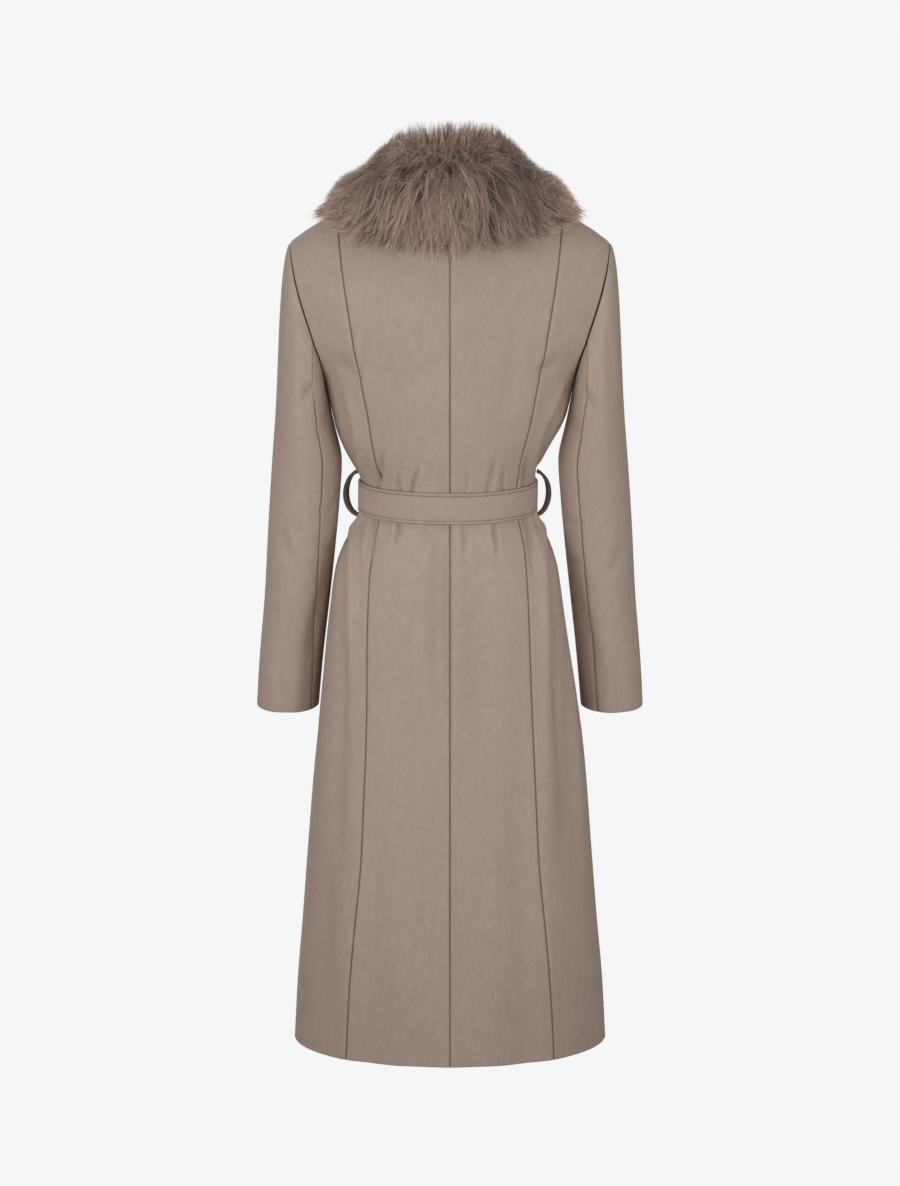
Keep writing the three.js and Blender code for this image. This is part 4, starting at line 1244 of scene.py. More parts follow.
@dataclass(frozen=True)
class BeltSizes:
    """The tie belt's sizes, in millimetres."""

    z: float = -396
    width: float = 42
    thick: float = 3.6
    gap: float = 0.8
    edge: float = 1.5
    face_drop: float = 0.45
    channel: float = 4.6
    channel_deep: float = 0.5
    channel_width: float = 0.9
    # painted shade along the belt's edges and in its stitch channels
    edge_painted_shade: float = 0.4
    channel_painted_shade: float = 0.26
    rest: float = 0.9
    loop_z: float = -393
    loop_rise: float = 27.5
    loop_reach: float = 11.5
    loop_sunk: float = 5
    loop_thick: float = 4.4
    loop_width: float = 12
    loop_turned: float = 0.36
    loop_span: tuple[float, float] = (0.05, 0.985)
    knot_x: float = 16
    knot: tuple[float, float, float] = (46, 26, 50)
    knot_cut: float = 0.94
    tail_narrow: float = 26
    tail_spread: float = 120
    tail_stand: float = 9
    stitch: float = 3.0
    stitch_half: float = 0.42
    stitch_high: float = 0.34
    pitch: float = 3.9


@dataclass(frozen=True)
class Tail:
    """One end of the belt: its place beside the middle, its lean, its length, and its cloth's
    flat size in metres."""

    name: str
    x: float
    lean: float
    length: float
    flat: tuple[float, float]


TAILS = (Tail("belt_tail_left", 30, 0.09, 345, (0.042, 0.345)),
         Tail("belt_tail_right", 1, -0.13, 300, (0.042, 0.300)))


BAND_EDGE_STEPS = np.array([0.0, 0.25, 0.7, 1.5, 2.6, 3.6, 4.6, 5.6, 6.8])
BAND_MIDDLE_FROM, BAND_MIDDLE_POINTS = 9, 9


def band_profile(sizes: BeltSizes) -> tuple[Array, Array, Array]:
    """The closed outline of the sewn band across its width.

    Args:
        sizes: width, thickness, edge rounding and stitch channels.

    Returns:
        Shares across the width from -0.5 to 0.5, heights off the lower face, and a mark that
        is 1 on the upper face.
    """
    half, middle = sizes.width / 2.0, sizes.thick / 2.0
    inner = half - BAND_MIDDLE_FROM
    across = np.concatenate([-half + BAND_EDGE_STEPS, np.linspace(-inner, inner, BAND_MIDDLE_POINTS),
                             (half - BAND_EDGE_STEPS)[::-1]])
    to_edge = half - np.abs(across)
    curl = np.sqrt(np.clip(1.0 - (1.0 - to_edge / sizes.edge).clip(0.0) ** 2, 0.0, 1.0))
    seam = sizes.channel_deep * bell(to_edge - sizes.channel, sizes.channel_width)
    swell = 0.35 * bell(to_edge - 2.4, 1.3) + 0.3 * ease((to_edge - 6.0) / 6.0)
    top = middle + (middle - sizes.face_drop) * curl + swell - seam
    low = middle - middle * curl
    shares = np.concatenate([across, across[-2:0:-1]]) / sizes.width
    heights = np.concatenate([top, low[-2:0:-1]])
    return shares, heights, np.concatenate([np.ones(len(across)), np.zeros(len(across) - 2)])


class Belt:
    """The tie belt round the waist, with its loops, knot, tails and stitches."""

    def __init__(self, form: CoatForm, wool: Material, dark: Material,
                 thread: Material) -> None:
        """Keeps the coat's form and the finishes of belt, loops and stitches; the loops' finish is the wool
        darkened, painted shade.
        """
        self.form, self.sizes = form, BeltSizes()
        self.wool, self.dark, self.thread = wool, dark, thread

    def ring(self, turn: Array) -> tuple[Array, Array]:
        """The level ring that the belt lies on: the waist's widest level, all the way round.

        Args:
            turn: turns from 0 to a full one.

        Returns:
            Points and level outward directions.
        """
        sizes, form = self.sizes, self.form
        right = turn > math.pi
        half_turn = np.where(right, 2.0 * math.pi - turn, turn)
        row = form.row_at(np.full(turn.shape, sizes.z))
        out = unit(form.normal(half_turn, row) * np.array([1.0, 1.0, 0.0]))
        levels = sizes.z + sizes.width / 2.0 * np.array([-1.0, 0.0, 1.0])
        waist = form.half.at(levels).max() - form.half.at(sizes.z)
        points = form.torso(half_turn, row) + out * (waist + sizes.gap)
        flip = right[..., None]
        return np.where(flip, mirrored(points), points), np.where(flip, mirrored(out), out)

    def band(self) -> Piece:
        """The belt: the band's outline carried round the ring, a little uneven, with painted shade along its
        edges and in its stitch channels.
        """
        sizes = self.sizes
        steps = 340
        turn = np.linspace(0.0, 2.0 * math.pi, steps, endpoint=False)
        points, out = self.ring(turn)
        shares, heights, upper = band_profile(sizes)
        # The edges wander up and down a little, and the middle buckles in and out
        wander = 0.5 * (0.55 * np.sin(turn * 5.0 + 0.8) + 0.4 * np.sin(turn * 9.0 + 2.1))
        buckle = 0.3 * np.sin(turn * 13.0 + 0.4) * np.sin(turn * 3.0 + 1.0)
        z = sizes.z + shares[None, :] * sizes.width + wander[:, None] * (np.abs(shares) * 2.0) ** 2
        off = heights[None, :] + upper * (buckle[:, None] * np.cos(math.pi * shares))
        grid = points[:, None, :] + out[:, None, :] * off[..., None]
        grid[..., 2] = z
        faces = grid_faces(steps, len(shares), around=True, down=True)
        to_edge = sizes.width * (0.5 - np.abs(shares))
        # Painted shade: darker along both edges, where the belt meets the coat, and in the stitch channels
        dark = (sizes.edge_painted_shade * bell(to_edge, sizes.channel_width)
                + sizes.channel_painted_shade * bell(to_edge - sizes.channel, sizes.channel_width))
        marks = {"dark": np.broadcast_to(dark, grid.shape[:2])}
        return make_mesh("belt_cloth", self.form.swayed(grid).reshape(-1, 3), [faces], self.wool, marks)

    def stitches(self, name: str, places: Array, along: Array, out: Array) -> Piece:
        """Stitches as small long beads, all in one mesh.

        Args:
            name: the object's name.
            places: their middles.
            along: the way each lies.
            out: the way each faces.

        Returns:
            The joined stitches.
        """
        rings, spokes, blunt = 5, 6, 0.96
        wide, high = self.sizes.stitch_half, self.sizes.stitch_high
        lift = np.linspace(-blunt, blunt, rings)
        size = np.sqrt(1.0 - np.abs(lift) ** 4)
        angle = np.arange(spokes) * 2.0 * math.pi / spokes
        across = np.cross(along, out)
        bead = (along[:, None, None] * (lift * self.sizes.stitch / 2.0)[None, :, None, None]
                + across[:, None, None] * (size[:, None] * np.cos(angle) * wide)[None, ..., None]
                + out[:, None, None] * (size[:, None] * np.sin(angle) * high)[None, ..., None])
        points = (places[:, None, None] + bead).reshape(-1, 3)
        start = np.arange(len(places))[:, None, None] * rings * spokes
        sides = (grid_faces(rings, spokes, around=True)[None] + start).reshape(-1, 4)
        cap = np.arange(spokes)
        caps = (np.stack([cap[::-1], cap + (rings - 1) * spokes])[None] + start).reshape(-1, spokes)
        return make_mesh(name, points, [sides, caps], self.thread)

    def belt_stitches(self) -> Piece:
        """Topstitching along both edges of the belt."""
        sizes = self.sizes
        fine_steps = 2000
        fine = np.linspace(0.0, 2.0 * math.pi, fine_steps)
        run = lengths_along(self.ring(fine)[0][None])[0]
        count = int(run[-1] / sizes.pitch)
        turn = np.interp(np.arange(count) * run[-1] / count, run, fine)
        points, out = self.ring(turn)
        along = unit(np.cross(np.array([0.0, 0.0, 1.0]), out))
        deep = sizes.thick - sizes.face_drop - sizes.channel_deep + sizes.stitch_half
        rows = []
        for side in (-1.0, 1.0):
            row = points + out * deep
            row[:, 2] = sizes.z + side * (sizes.width / 2.0 - sizes.channel)
            rows.append(row)
        places = self.form.swayed(np.concatenate(rows))
        return self.stitches("belt_stitches", places, np.concatenate([along] * 2), np.concatenate([out] * 2))

    def loop(self, right: bool) -> Piece:
        """A belt loop: a narrow band along an arch off the side seam, in the wool darkened with painted
        shade.
        """
        sizes = self.sizes
        steps, ring = 48, 28
        side = float(self.form.half.at(sizes.loop_z + sizes.loop_rise + sizes.loop_thick)) + sizes.rest
        angle = math.pi * np.linspace(*sizes.loop_span, steps)
        reach = sizes.loop_reach + sizes.loop_sunk
        middle = np.stack([side - sizes.loop_sunk + reach * np.sin(angle), np.zeros(steps),
                           sizes.loop_z + sizes.loop_rise * np.cos(angle)], axis=-1)
        out = unit(np.stack([np.sin(angle) / sizes.loop_reach, np.zeros(steps),
                             np.cos(angle) / sizes.loop_rise], axis=-1))
        spoke = np.arange(ring) * 2.0 * math.pi / ring
        wide = signed_power(np.cos(spoke), 0.3) * sizes.loop_width / 2.0
        high = sizes.loop_thick * (0.5 + 0.5 * signed_power(np.sin(spoke), 0.45))
        high = high - 0.35 * bell(wide, 0.8) * (np.sin(spoke) > 0)
        grid = middle[:, None, :] + out[:, None, :] * high[None, :, None]
        grid[..., 1] = grid[..., 1] + wide
        grid[..., 0] = grid[..., 0] + sizes.loop_turned * np.sin(angle)[:, None] * wide
        grid = self.form.swayed(mirrored(grid) if right else grid)
        name = f"belt_loop_{'right' if right else 'left'}"
        made = make_mesh(f"{name}_cloth", grid.reshape(-1, 3), tube_faces(steps, ring, not right), self.dark)
        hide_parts(name)
        return made

    def front_y(self) -> float:
        """How far the belt's face stands before the middle."""
        points, _ = self.ring(np.array([math.pi]))
        return float(points[0, 1]) - self.sizes.thick

    def knot(self) -> Piece:
        """The knot: a squared ball wrapped by a slanting band, with gathers that run into it.

        Its points are a superellipse's, drawn in along the band's two edges and along a few
        unequal gathers on either side of the band.
        """
        sizes = self.sizes
        wide, deep, tall = sizes.knot
        levels, spokes, power = 72, 96, 2.6
        lift = np.sin(np.linspace(-1.0, 1.0, levels) * math.asin(sizes.knot_cut))[:, None]
        angle = (np.arange(spokes) * 2.0 * math.pi / spokes)[None, :]
        size = (1.0 - np.abs(lift) ** power) ** (1.0 / power)
        x, y = size * signed_power(np.cos(angle), 0.8), size * signed_power(np.sin(angle), 0.8)
        lift = np.broadcast_to(lift, x.shape)
        slant = x * 0.92 + lift * 0.4
        groove, groove_width, band_half = 0.1, 0.07, 0.5
        draw = groove * bell(slant - 0.56, groove_width) + groove * bell(slant + 0.52, groove_width)
        band = np.exp(-((slant / band_half) ** 4))
        draw += 0.045 * band * (0.5 + 0.5 * np.cos(lift * 17.0 - x * 5.0 + 0.6 * np.sin(9.0 * x)))
        draw += 0.06 * (1.0 - band) * (0.5 + 0.5 * np.cos(x * 15.0 + lift * 6.0))
        draw *= ease((sizes.knot_cut - np.abs(lift)) / 0.14)
        factor = 0.5 * (1.0 - draw + 0.03 * band)
        grid = np.stack([sizes.knot_x + wide * factor * x,
                         self.front_y() - sizes.rest - deep / 2.0 + deep * factor * y,
                         sizes.z + tall / 2.0 * lift], axis=-1)
        made = make_mesh("belt_knot_cloth", self.form.swayed(grid).reshape(-1, 3),
                         tube_faces(levels, spokes), self.wool)
        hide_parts("belt_knot")
        return made

    def tail(self, tail: Tail) -> Piece:
        """One tail: the band's outline laid down the right front, gathered where it leaves the
        knot, with soft lengthwise folds."""
        sizes, form = self.sizes, self.form
        steps = 110
        top = sizes.z - sizes.knot[2] / 2.0 * sizes.knot_cut - sizes.rest
        down = np.linspace(0.0, tail.length, steps)
        shares, heights, upper = band_profile(sizes)
        width = mix(sizes.tail_narrow, sizes.width, ease(down / sizes.tail_spread))
        place = (tail.x + tail.lean * down)[:, None] + width[:, None] * shares
        row = np.broadcast_to(form.row_at(top - down)[:, None], place.shape)
        turn = form.turn_at(np.zeros(place.shape, bool), -place, row)
        points, out = mirrored(form.torso(turn, row)), mirrored(form.normal(turn, row))
        out = unit(out * np.array([1.0, 1.0, 0.0]))
        stand = mix(sizes.tail_stand, sizes.rest, ease(down / sizes.tail_spread))[:, None]
        gathered = bell(down, 75.0)[:, None]
        fold = 1.2 * gathered * np.cos(shares * 19.0 + 0.5)
        fold = fold + 0.5 * np.sin(down[:, None] / 46.0 + shares * 5.0)
        fold = np.clip(fold, -0.7, 1.3) * np.cos(math.pi * shares) ** 0.5
        deepest = 0.3
        clear = deepest + 0.05
        grid = points + out * (stand + clear + heights + np.maximum(fold, -deepest))[..., None]
        made = make_mesh(f"{tail.name}_cloth", self.form.swayed(grid).reshape(-1, 3),
                         tube_faces(steps, len(shares)), self.wool)
        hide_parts(tail.name)
        return made

    def build(self) -> list[Piece]:
        band = self.band()
        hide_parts("belt")
        stitches = self.belt_stitches()
        loops = [self.loop(right) for right in (False, True)]
        knot = self.knot()
        tails = [self.tail(tail) for tail in TAILS]
        made = [band, stitches, knot, *loops, *tails]
        for piece in made:
            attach(piece, ROOT)
        LOG.info("belt, stitches, loops, knot and tails built")
        return made


# Fur collar

# The collar's room by station: the neck edge's share of the shoulder line and its row, the outer
# edge's share and row, and the fur's height at the neck edge, in the middle and at the outer edge
COLLAR_AT = tuple(range(15))
END_STATION = 14.0
COLLAR_ROWS = ((0, 0, 0, 3.5, 86, 71, 40), (0.12, 0, 0.2, 3.47, 88, 71, 40),
               (0.23, 0, 0.4, 3.25, 88, 70, 39), (0.31, 0, 0.57, 2.72, 86, 63, 35),
               (0.345, 0, 0.72, 1.7, 82, 51, 29), (0.355, 0, 0.8, 0.6, 76, 45, 21),
               (0.355, -0.35, 0.81, -0.7, 69, 43, 20), (0.345, -1, 0.785, -2, 60, 42, 22),
               (0.325, -2, 0.74, -3.2, 52, 43, 25), (0.295, -3, 0.67, -4.4, 47, 45, 29),
               (0.26, -4, 0.615, -5.5, 43, 42, 28), (0.215, -5, 0.535, -6.5, 40, 39, 27),
               (0.165, -6, 0.42, -7.5, 36, 35, 24), (0.125, -7, 0.27, -8.2, 30, 29, 20),
               (0.115, -7.7, 0.16, -8.35, 21, 20, 14))


class CollarForm:
    """The room the fur takes, as a function of station, way across, and height.

    station runs from the centre back (0) to a front end (14), negative on the wearer's right.
    across runs from the neck edge (0) to the fur's outer edge (1). height runs from the cloth
    (0) to the frame's surface (1).
    """

    def __init__(self, form: CoatForm, gap: float = 2.0, lean: float = -0.12) -> None:
        """Fills a fine table of places under the fur and of the ways up through it."""
        columns = [Curve(COLLAR_AT, tuple(row[k] for row in COLLAR_ROWS)) for k in range(7)]
        self.stations, self.across = 281, 61
        at = np.linspace(0.0, END_STATION, self.stations)
        share, row, edge_share, edge_row, stand, belly, lip = (c.at(at)[:, None] for c in columns)
        v = np.linspace(0.0, 1.0, self.across)[None, :]
        signed = mix(row, edge_row, v)
        back, rows = signed >= 0, np.abs(signed)
        turn = form.turn_of_share(back, mix(share, edge_share, v), rows)
        normal = form.normal(turn, rows)
        self.base = form.torso(turn, rows) + normal * gap
        outward = unit(normal * np.array([1.0, 1.0, 0.0]))
        upright = np.array([0.0, 0.0, 1.0]) + outward * lean
        way = ease(v * 1.1 + np.maximum(0.0, -row) / 4.0)[..., None]
        high = np.where(v < 0.5, mix(stand, belly, ease(v * 2)), mix(belly, lip, ease((v - 0.5) * 2)))
        self.rise = unit(mix(upright, normal, way)) * high[..., None]
        self.width = np.linalg.norm(self.base[:, -1] - self.base[:, 0], axis=-1)
        steps = np.linalg.norm(np.gradient(self.base, END_STATION / (self.stations - 1), axis=0), axis=-1)
        self.pace = steps[..., None]

    def sample(self, table: Array, station: Array, across: Array) -> Array:
        """A table's value between its places, mixed along both ways."""
        i = np.clip(np.abs(station) / END_STATION, 0, 1) * (self.stations - 1)
        j = np.clip(across, 0, 1) * (self.across - 1)
        i0 = np.minimum(i.astype(int), self.stations - 2)
        j0 = np.minimum(j.astype(int), self.across - 2)
        ti, tj = (i - i0)[..., None], (j - j0)[..., None]
        low = mix(table[i0, j0], table[i0, j0 + 1], tj)
        return mix(low, mix(table[i0 + 1, j0], table[i0 + 1, j0 + 1], tj), ti)

    def point(self, station: Array, across: Array, height: Array) -> Array:
        """Points in the fur's room, in millimetres. Past the outer edge the cloth is carried
        straight on, up to the given share of its width."""
        near, past = 0.96, 0.15
        station, across, height = np.broadcast_arrays(station, across, height)
        base = self.sample(self.base, station, across)
        inside = self.sample(self.base, station, np.full(across.shape, near))
        base = base + (base - inside) * (np.clip(across - 1.0, 0.0, past) / (1.0 - near))[..., None]
        points = base + self.sample(self.rise, station, across) * height[..., None]
        return np.where((station < 0)[..., None], mirrored(points), points)

    def width_at(self, station: Array) -> Array:
        """The fur's width at a station, in millimetres."""
        return np.interp(np.abs(station), np.linspace(0, END_STATION, self.stations), self.width)

    def pace_at(self, station: Array, across: Array) -> Array:
        """How many millimetres one station is at a place on the cloth, and 8 at least."""
        least = 8.0
        return np.maximum(self.sample(self.pace, station, across)[..., 0], least)


@dataclass(frozen=True)
class FurSizes:
    """How the fur grows. Places on the pelt are stations or shares of its section, heights are
    shares of the fur's room, and the scatter of roots and tips and the width are millimetres."""

    fold: float = 0.15
    pelt_fold: float = 0.62
    pelt_flat: float = 0.5
    pelt_edge: float = 0.87
    locks: int = 2400
    wisps: int = 21000
    hairs: int = 94000
    wisp_root: float = 7.5
    wisp_tip: float = 5.5
    hair_root: float = 2.0
    hair_tip: float = 0.7
    bow: float = 2.3
    segments: int = 3
    hair_width: float = 0.72
    whorl: float = 0.4
    parting: float = -0.85
    pelt_end: float = 13.9
    wisp_tone: float = 0.27
    hair_tone: float = 0.13
    stray_share: float = 0.07
    stray_bow: float = 7.0
    room_height: float = 70.0
    reach_across: float = 1.15
    reach_height: float = 1.08
    neck_lean: float = 7.0
    meshes: int = 4
    seed: int = 23


@dataclass(frozen=True)
class Patch:
    """A soft-edged patch of the fur along the stations: its middle, its width, and how much it
    changes there."""

    middle: float
    width: float
    much: float

    def at(self, station: Array) -> Array:
        """The change at stations."""
        return self.much * bell(station - self.middle, self.width)


@dataclass(frozen=True)
class LockStyle:
    """How the locks lie and differ along the collar."""

    crowding: float = 1.25
    fan_root: float = 0.62
    fan_edge: float = 0.3
    fan_width: float = 2.6
    fan_noise: float = 0.15
    fan_most: float = 1.6
    parting: Patch = Patch(0.0, 0.6, 0.34)
    parting_q: tuple[float, float] = (0.7, 0.2)
    sweep_root: float = -0.02
    sweep_edge: float = 0.3
    calm_sides: Patch = Patch(5.0, 1.8, 0.55)
    low_corners: tuple[Patch, Patch] = (Patch(3.0, 1.1, 0.13), Patch(-3.0, 1.1, 0.08))
    # dark and dark_q: a patch right of the middle where the locks are darker, painted shade
    dark: Patch = Patch(-2.2, 1.6, 0.36)
    dark_q: tuple[float, float] = (0.62, 0.36)
    pale: Patch = Patch(-5.4, 1.8, 0.3)
    pale_fringe: float = 0.14
    long_fringe: Patch = Patch(3.0, 1.7, 0.1)


@dataclass
class Growth:
    """Where hairs or bunches of hairs grow: from a place on the pelt to a place in the room."""

    at: Array
    q: Array
    to_at: Array
    to_across: Array
    to_height: Array
    bow: Array
    tone: Array

    def pick(self, which: Array) -> "Growth":
        """The chosen ones."""
        return Growth(*(getattr(self, key)[which] for key in self.__dataclass_fields__))


class FurCollar:
    """The fur collar: a lumpy pelt of underfur, and hairs in locks that grow from it."""

    def __init__(self, room: CollarForm, fur: Material) -> None:
        """Keeps the fur's room and finish."""
        self.room, self.fur = room, fur
        self.sizes, self.style = FurSizes(), LockStyle()

    def profile(self, q: Array) -> tuple[Array, Array]:
        """The pelt's section: up the neck side, over the fold and down to the outer edge.

        Args:
            q: place along the section, from 0 at the neck's foot to 1 at the outer edge.

        Returns:
            The way across and the height.
        """
        sizes = self.sizes
        out = np.clip((q - sizes.fold) / (1.0 - sizes.fold), 0.0, 1.0)
        across = sizes.pelt_edge * out ** 1.15
        rise = np.sin(QUARTER * np.clip(q / (1.6 * sizes.fold), 0.0, 1.0)) ** 0.8
        height = mix(sizes.pelt_fold, sizes.pelt_flat, ease(out / 0.7)) * rise
        return across, height * mix(1.0, 0.2, ease((q - 0.82) / 0.18))

    def pelt(self) -> Piece:
        """The underfur: the section carried round the neck, with lumps, closed underneath."""
        sizes = self.sizes
        stations, around, waves = 240, 28, 9
        at = np.linspace(-sizes.pelt_end, sizes.pelt_end, stations)[:, None]
        q = np.linspace(0.0, 1.0, around)[None, :]
        across, height = self.profile(q)
        rng = np.random.default_rng(sizes.seed)
        lump = sum(np.sin(at * rng.uniform(2, 9) + q * rng.uniform(6, 26) + rng.uniform(0, 6.3))
                   for _ in range(waves)) / waves
        end = ease((sizes.pelt_end - np.abs(at)) / 1.2)
        over = self.room.point(at, across + 0.0 * at, height * (0.5 + 0.5 * end) * (0.92 + 0.2 * lump))
        under = self.room.point(at, across[:, ::-1] + 0.0 * at, np.zeros((stations, around)))
        grid = np.concatenate([over, under[:, 1:]], axis=1)
        # The underfur takes the ramp's dark root colour, partly painted shade deep in the fur
        root_shade = 0.12
        marks = {"along": np.full(grid.shape[:2], root_shade), "tone": np.ones(grid.shape[:2])}
        faces = tube_faces(stations, grid.shape[1], flipped=True)
        made = make_mesh("fur_pelt", grid.reshape(-1, 3), faces, self.fur, marks)
        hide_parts("fur_collar")
        return made

    def locks(self, rng: np.random.Generator) -> Growth:
        """The locks. They lean away from a whorl at the top of the centre back, stand up near
        the fold and lie flatter towards the outer edge, and part right of the middle.

        Args:
            rng: random numbers.

        Returns:
            The locks' growth.
        """
        sizes, style, count = self.sizes, self.style, self.sizes.locks
        at = END_STATION * signed_power(rng.uniform(-1.0, 1.0, count), style.crowding)
        q = 0.02 + 0.98 * rng.uniform(0.0, 1.0, count) ** 0.8
        across, _ = self.profile(q)
        off = at - sizes.whorl
        fan = off * mix(style.fan_root, style.fan_edge, ease(q)) * (0.2 + 0.8 * bell(off, style.fan_width))
        beside = at - sizes.parting
        parted = style.parting.at(beside) * bell(q - style.parting_q[0], style.parting_q[1])
        fan = fan + np.sign(beside) * parted
        fan = np.clip(fan + rng.normal(0.0, style.fan_noise, count), -style.fan_most, style.fan_most)
        fan = fan * np.clip((END_STATION - np.abs(at)) / 4.0, 0.15, 1.0)
        sweep = mix(style.sweep_root, style.sweep_edge, ease((q - 0.12) / 0.5))
        sweep = sweep * rng.uniform(0.7, 1.25, count)
        sweep = sweep * (1.0 - style.calm_sides.at(np.abs(at)))
        low = ease((q - 0.7) / 0.3)
        height = mix(rng.uniform(0.94, 1.08, count), rng.uniform(0.04, 0.9, count), low)
        corner = sum(patch.at(at) for patch in style.low_corners)
        height = height * (1.0 - corner * (1.0 - ease((q - 0.2) / 0.3)))
        # Painted shade: the locks in the patch right of the middle are darker
        dark = style.dark.at(at) * bell(q - style.dark_q[0], style.dark_q[1])
        tone = rng.normal(1.0, 0.1, count) * (1.0 - dark + style.pale.at(at) + style.pale_fringe * low)
        end = rng.uniform(0.96, 1.04, count) + style.long_fringe.at(at)
        return Growth(at, q, at + fan, np.minimum(across + sweep, end), height,
                      rng.normal(0.0, sizes.bow, count), tone)

    def spread(self, of: Growth, count: int, root: float, tip: float, tone: float,
               rng: np.random.Generator) -> Growth:
        """Finer growth scattered about coarser one, so that it gathers from root to tip.

        Args:
            of: the coarser growth.
            count: how many finer ones.
            root: how widely their roots scatter, in millimetres.
            tip: how widely their tips do.
            tone: how much their tones vary.
            rng: random numbers.

        Returns:
            The finer growth.
        """
        made = of.pick(rng.integers(0, len(of.at), count))
        across, _ = self.profile(made.q)
        wide = self.room.width_at(made.at)
        pace = self.room.pace_at(made.at, across)
        tip_pace = self.room.pace_at(made.to_at, made.to_across)
        made.at = made.at + rng.normal(0.0, root, count) / pace
        made.q = np.clip(made.q + rng.normal(0.0, root, count) / wide, 0.0, 0.995)
        made.to_at = made.to_at + rng.normal(0.0, tip, count) / tip_pace
        made.to_across = made.to_across + rng.normal(0.0, tip, count) / wide
        made.to_height = made.to_height + rng.normal(0.0, 0.8 * tip, count) / self.sizes.room_height
        made.bow = made.bow + rng.normal(0.0, 0.3 * tip, count)
        made.tone = made.tone * rng.normal(1.0, tone, count)
        return made

    def hairs(self) -> list[Piece]:
        """The hairs: ribbons that taper from root to tip, in wisps, and the wisps in locks."""
        sizes, room, count = self.sizes, self.room, self.sizes.hairs
        rng = np.random.default_rng(sizes.seed + 1)
        wisps = self.spread(self.locks(rng), sizes.wisps, sizes.wisp_root, sizes.wisp_tip,
                            sizes.wisp_tone, rng)
        hair = self.spread(wisps, count, sizes.hair_root, sizes.hair_tip, sizes.hair_tone, rng)
        stray = rng.random(count) < sizes.stray_share
        across, height = self.profile(hair.q)
        length = rng.beta(5.0, 2.0, count) * 0.4 + mix(0.64, 0.74, stray)
        t = np.linspace(0.0, 1.0, sizes.segments + 1)[None, :] * length[:, None]
        sideways = stray * rng.normal(0.0, sizes.stray_bow, count)
        bow = hair.bow[:, None] * np.sin(math.pi * t) + sideways[:, None] * t**2
        v = mix(across[:, None], hair.to_across[:, None], t**1.2)
        at = mix(hair.at[:, None], hair.to_at[:, None], t)
        at = np.clip(at + bow / room.pace_at(at, v), -END_STATION, END_STATION)
        h = mix(height[:, None] * 0.8, hair.to_height[:, None], 1.0 - np.clip(1.0 - t, 0.0, 1.0) ** 1.2)
        spine = room.point(at, np.clip(v, 0.0, sizes.reach_across), np.clip(h, 0.0, sizes.reach_height))
        inward = np.clip(1.0 - hair.q / sizes.fold, 0.0, 1.0)[:, None]
        neck_middle = np.array([0.0, 4.0, 0.0])
        to_neck = unit((neck_middle - spine) * np.array([1.0, 1.0, 0.0]))
        lean = inward * sizes.neck_lean * np.sin(math.pi * np.clip(t, 0, 1))
        spine = spine + to_neck * lean[..., None]
        tangent = unit(np.gradient(spine, axis=1))
        outward = unit(spine - room.point(at, np.clip(v, 0, 1) * 0.8, np.zeros_like(h)))
        side = unit(np.cross(tangent, outward) + 0.5 * rng.normal(size=(count, 1, 3)))
        taper = (1.0 - np.linspace(0.0, 1.0, sizes.segments + 1) ** 1.8)[:-1]
        width = sizes.hair_width * rng.uniform(0.65, 1.35, (count, 1))
        half = side[:, :-1] * (width / 2.0 * taper)[..., None]
        ribbon = np.stack([spine[:, :-1] - half, spine[:, :-1] + half], axis=2).reshape(count, -1, 3)
        points = np.concatenate([ribbon, spine[:, -1:]], axis=1)
        along = np.concatenate([np.repeat(np.linspace(0, 1, sizes.segments + 1)[:-1], 2), [1.0]])
        along = along[None, :] * mix(0.8, 1.0, rng.random((count, 1)))
        tone = np.broadcast_to(np.clip(hair.tone, 0.45, 1.6)[:, None], along.shape)
        made = []
        for k, part in enumerate(np.array_split(np.arange(count), sizes.meshes)):
            made.append(self.ribbons(f"fur_hairs_{k + 1}", points[part], along[part], tone[part]))
        return made

    def ribbons(self, name: str, points: Array, along: Array, tone: Array) -> Piece:
        """Joins ribbons into one mesh: quads up to the last pair of points, then a triangle."""
        count, each = points.shape[:2]
        start = (np.arange(count) * each)[:, None, None]
        step = np.arange(self.sizes.segments - 1)[:, None] * 2
        quads = (start + (step + np.array([0, 1, 3, 2]))[None]).reshape(-1, 4)
        ends = (start[:, 0] + np.array([each - 3, each - 2, each - 1])).reshape(-1, 3)
        return make_mesh(name, points.reshape(-1, 3), [quads, ends], self.fur, {"along": along, "tone": tone})

    def build(self) -> list[Piece]:
        """Builds the pelt and its hairs."""
        made = [self.pelt(), *self.hairs()]
        for piece in made:
            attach(piece, ROOT)
        LOG.info("fur collar built in %d meshes", len(made))
        return made


# Stage

@dataclass(frozen=True)
class SoftLight:
    """A light's place, width and height, watts, the point it is aimed at, and its spread in degrees."""

    name: str
    place: tuple[float, float, float]
    size: tuple[float, float]
    watts: float
    aim: tuple[float, float, float]
    spread: float = 180.0


LIGHTS = (
    SoftLight("left key", (1.15, 2.1, -0.2), (1.5, 1.0), 3.7, (0.3, 0.0, -0.36), 80.0),
    SoftLight("right key", (-1.15, 2.1, -0.2), (1.5, 1.0), 2.4, (-0.37, 0.0, -0.36), 80.0),
    SoftLight("left light", (2.4, 1.9, 0.1), (1.6, 1.6), 31.0, (0.0, 0.0, -0.35)),
    SoftLight("right light", (-2.4, 1.9, 0.1), (1.6, 1.6), 31.0, (0.0, 0.0, -0.35)),
    SoftLight("top light", (0.1, 0.7, 2.2), (1.4, 1.4), 6.0, (0.0, 0.0, -0.1)),
    SoftLight("front light", (0.6, -3.4, 1.0), (2.2, 2.2), 80.0, (0.0, 0.0, -0.5)),
)


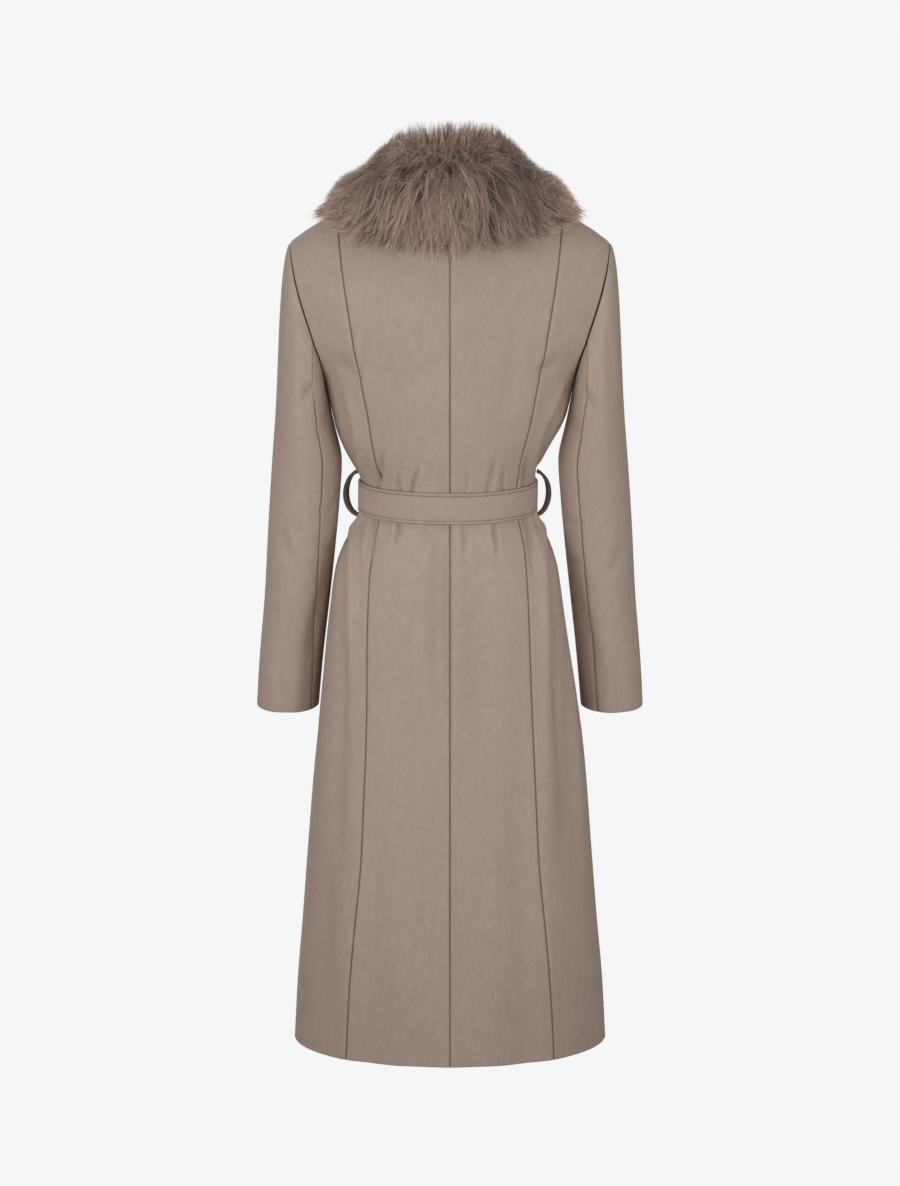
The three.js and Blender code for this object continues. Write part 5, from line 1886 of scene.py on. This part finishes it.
@dataclass(frozen=True)
class Studio:
    """A pale floor, soft lights and the photo's camera. Floor and sky look white to the camera
    and give the coat less light than that."""

    target: tuple[float, float, float] = (0.0, 0.0, -0.529)
    distance: float = 5.0
    elevation: float = 13.0
    frame_height: float = 1.5774
    floor_z: float = -2.2
    floor_half: float = 60.0
    paper: float = 0.92
    floor_shade: float = 0.12
    sky: float = 0.24
    sensor: float = 36.0

    def floor(self) -> None:
        """A wide pale floor far below the hem, even white to the camera."""
        size = self.floor_half / MM
        corners = np.array([[-size, -size, 0], [size, -size, 0], [size, size, 0], [-size, size, 0]], float)
        corners[:, 2] = self.floor_z / MM
        material, shader = principled("pale paper", Base_Color=(*[self.floor_shade] * 3, 1.0),
                                      Roughness=1.0, Specular_IOR_Level=0.0)
        tree = material.node_tree
        glow = node(tree, "ShaderNodeEmission")
        glow.inputs["Color"].default_value = (*[self.paper] * 3, 1.0)
        ray = node(tree, "ShaderNodeLightPath")
        both = node(tree, "ShaderNodeMixShader")
        tree.links.new(ray.outputs["Is Camera Ray"], both.inputs[0])
        tree.links.new(shader.outputs[0], both.inputs[1])
        tree.links.new(glow.outputs[0], both.inputs[2])
        tree.links.new(both.outputs[0], tree.nodes["Material Output"].inputs["Surface"])
        make_mesh("floor", corners, [np.array([[0, 1, 2, 3]])], material)

    def light(self, soft: SoftLight) -> None:
        """Sets up one light, which the camera doesn't see."""
        light = bpy.data.lights.new(soft.name, "AREA")
        light.shape, light.energy, light.spread = "RECTANGLE", soft.watts, math.radians(soft.spread)
        light.size, light.size_y = soft.size
        made = bpy.data.objects.new(soft.name, light)
        made.visible_camera = False
        made.location = soft.place
        made.rotation_euler = (Vector(soft.aim) - Vector(soft.place)).to_track_quat("-Z", "Y").to_euler()
        bpy.context.scene.collection.objects.link(made)

    def world(self) -> None:
        """Sets up the world: white to the camera, a weak even sky to all else."""
        world = bpy.data.worlds.new("studio")
        world.use_nodes = True
        back = world.node_tree.nodes["Background"]
        back.inputs["Color"].default_value = (1.0, 1.0, 1.0, 1.0)
        ray = node(world.node_tree, "ShaderNodeLightPath")
        level = node(world.node_tree, "ShaderNodeMath", operation="MULTIPLY_ADD",
                     in_1=self.paper - self.sky, in_2=self.sky)
        world.node_tree.links.new(ray.outputs["Is Camera Ray"], level.inputs[0])
        world.node_tree.links.new(level.outputs[0], back.inputs["Strength"])
        bpy.context.scene.world = world
        bpy.context.scene.view_settings.view_transform = "Standard"

    def camera(self) -> None:
        """Sets up the camera: behind the coat, a few degrees above its middle."""
        lens = bpy.data.cameras.new("camera")
        lens.sensor_fit, lens.sensor_height = "VERTICAL", self.sensor
        lens.lens = lens.sensor_height * self.distance / self.frame_height
        lens.clip_end = 200.0
        camera = bpy.data.objects.new("camera", lens)
        tilt = math.radians(self.elevation)
        off = Vector((0.0, math.cos(tilt), math.sin(tilt))) * self.distance
        camera.location = Vector(self.target) + off
        camera.rotation_euler = (-off).to_track_quat("-Z", "Y").to_euler()
        bpy.context.scene.collection.objects.link(camera)
        bpy.context.scene.camera = camera

    def build(self) -> None:
        """Sets up floor, lights, world and camera."""
        self.floor()
        for soft in LIGHTS:
            self.light(soft)
        self.world()
        self.camera()
        LOG.info("stage built")


def main() -> None:
    """Builds the coat and its stage, in order."""
    form = CoatForm()
    cloth = Cloth()
    felt = felt_group()
    wool = WoolFinish().build(felt)
    # The loops' wool, darker: painted shade for loops that stand in shade beside the belt
    dark = WoolFinish("loop wool in painted shade", (0.15, 0.108, 0.088), sheen=0.1).build(felt)
    thread = ThreadFinish().build()
    CoatBody(form, cloth, wool).build()
    Sleeves(SleeveForm(form), cloth, wool).build()
    Belt(form, wool, dark, thread).build()
    FurCollar(CollarForm(form), FurFinish().build()).build()
    Studio().build()


if __name__ == "__main__":
    logging.basicConfig(level=logging.INFO, format="%(message)s")
    main()
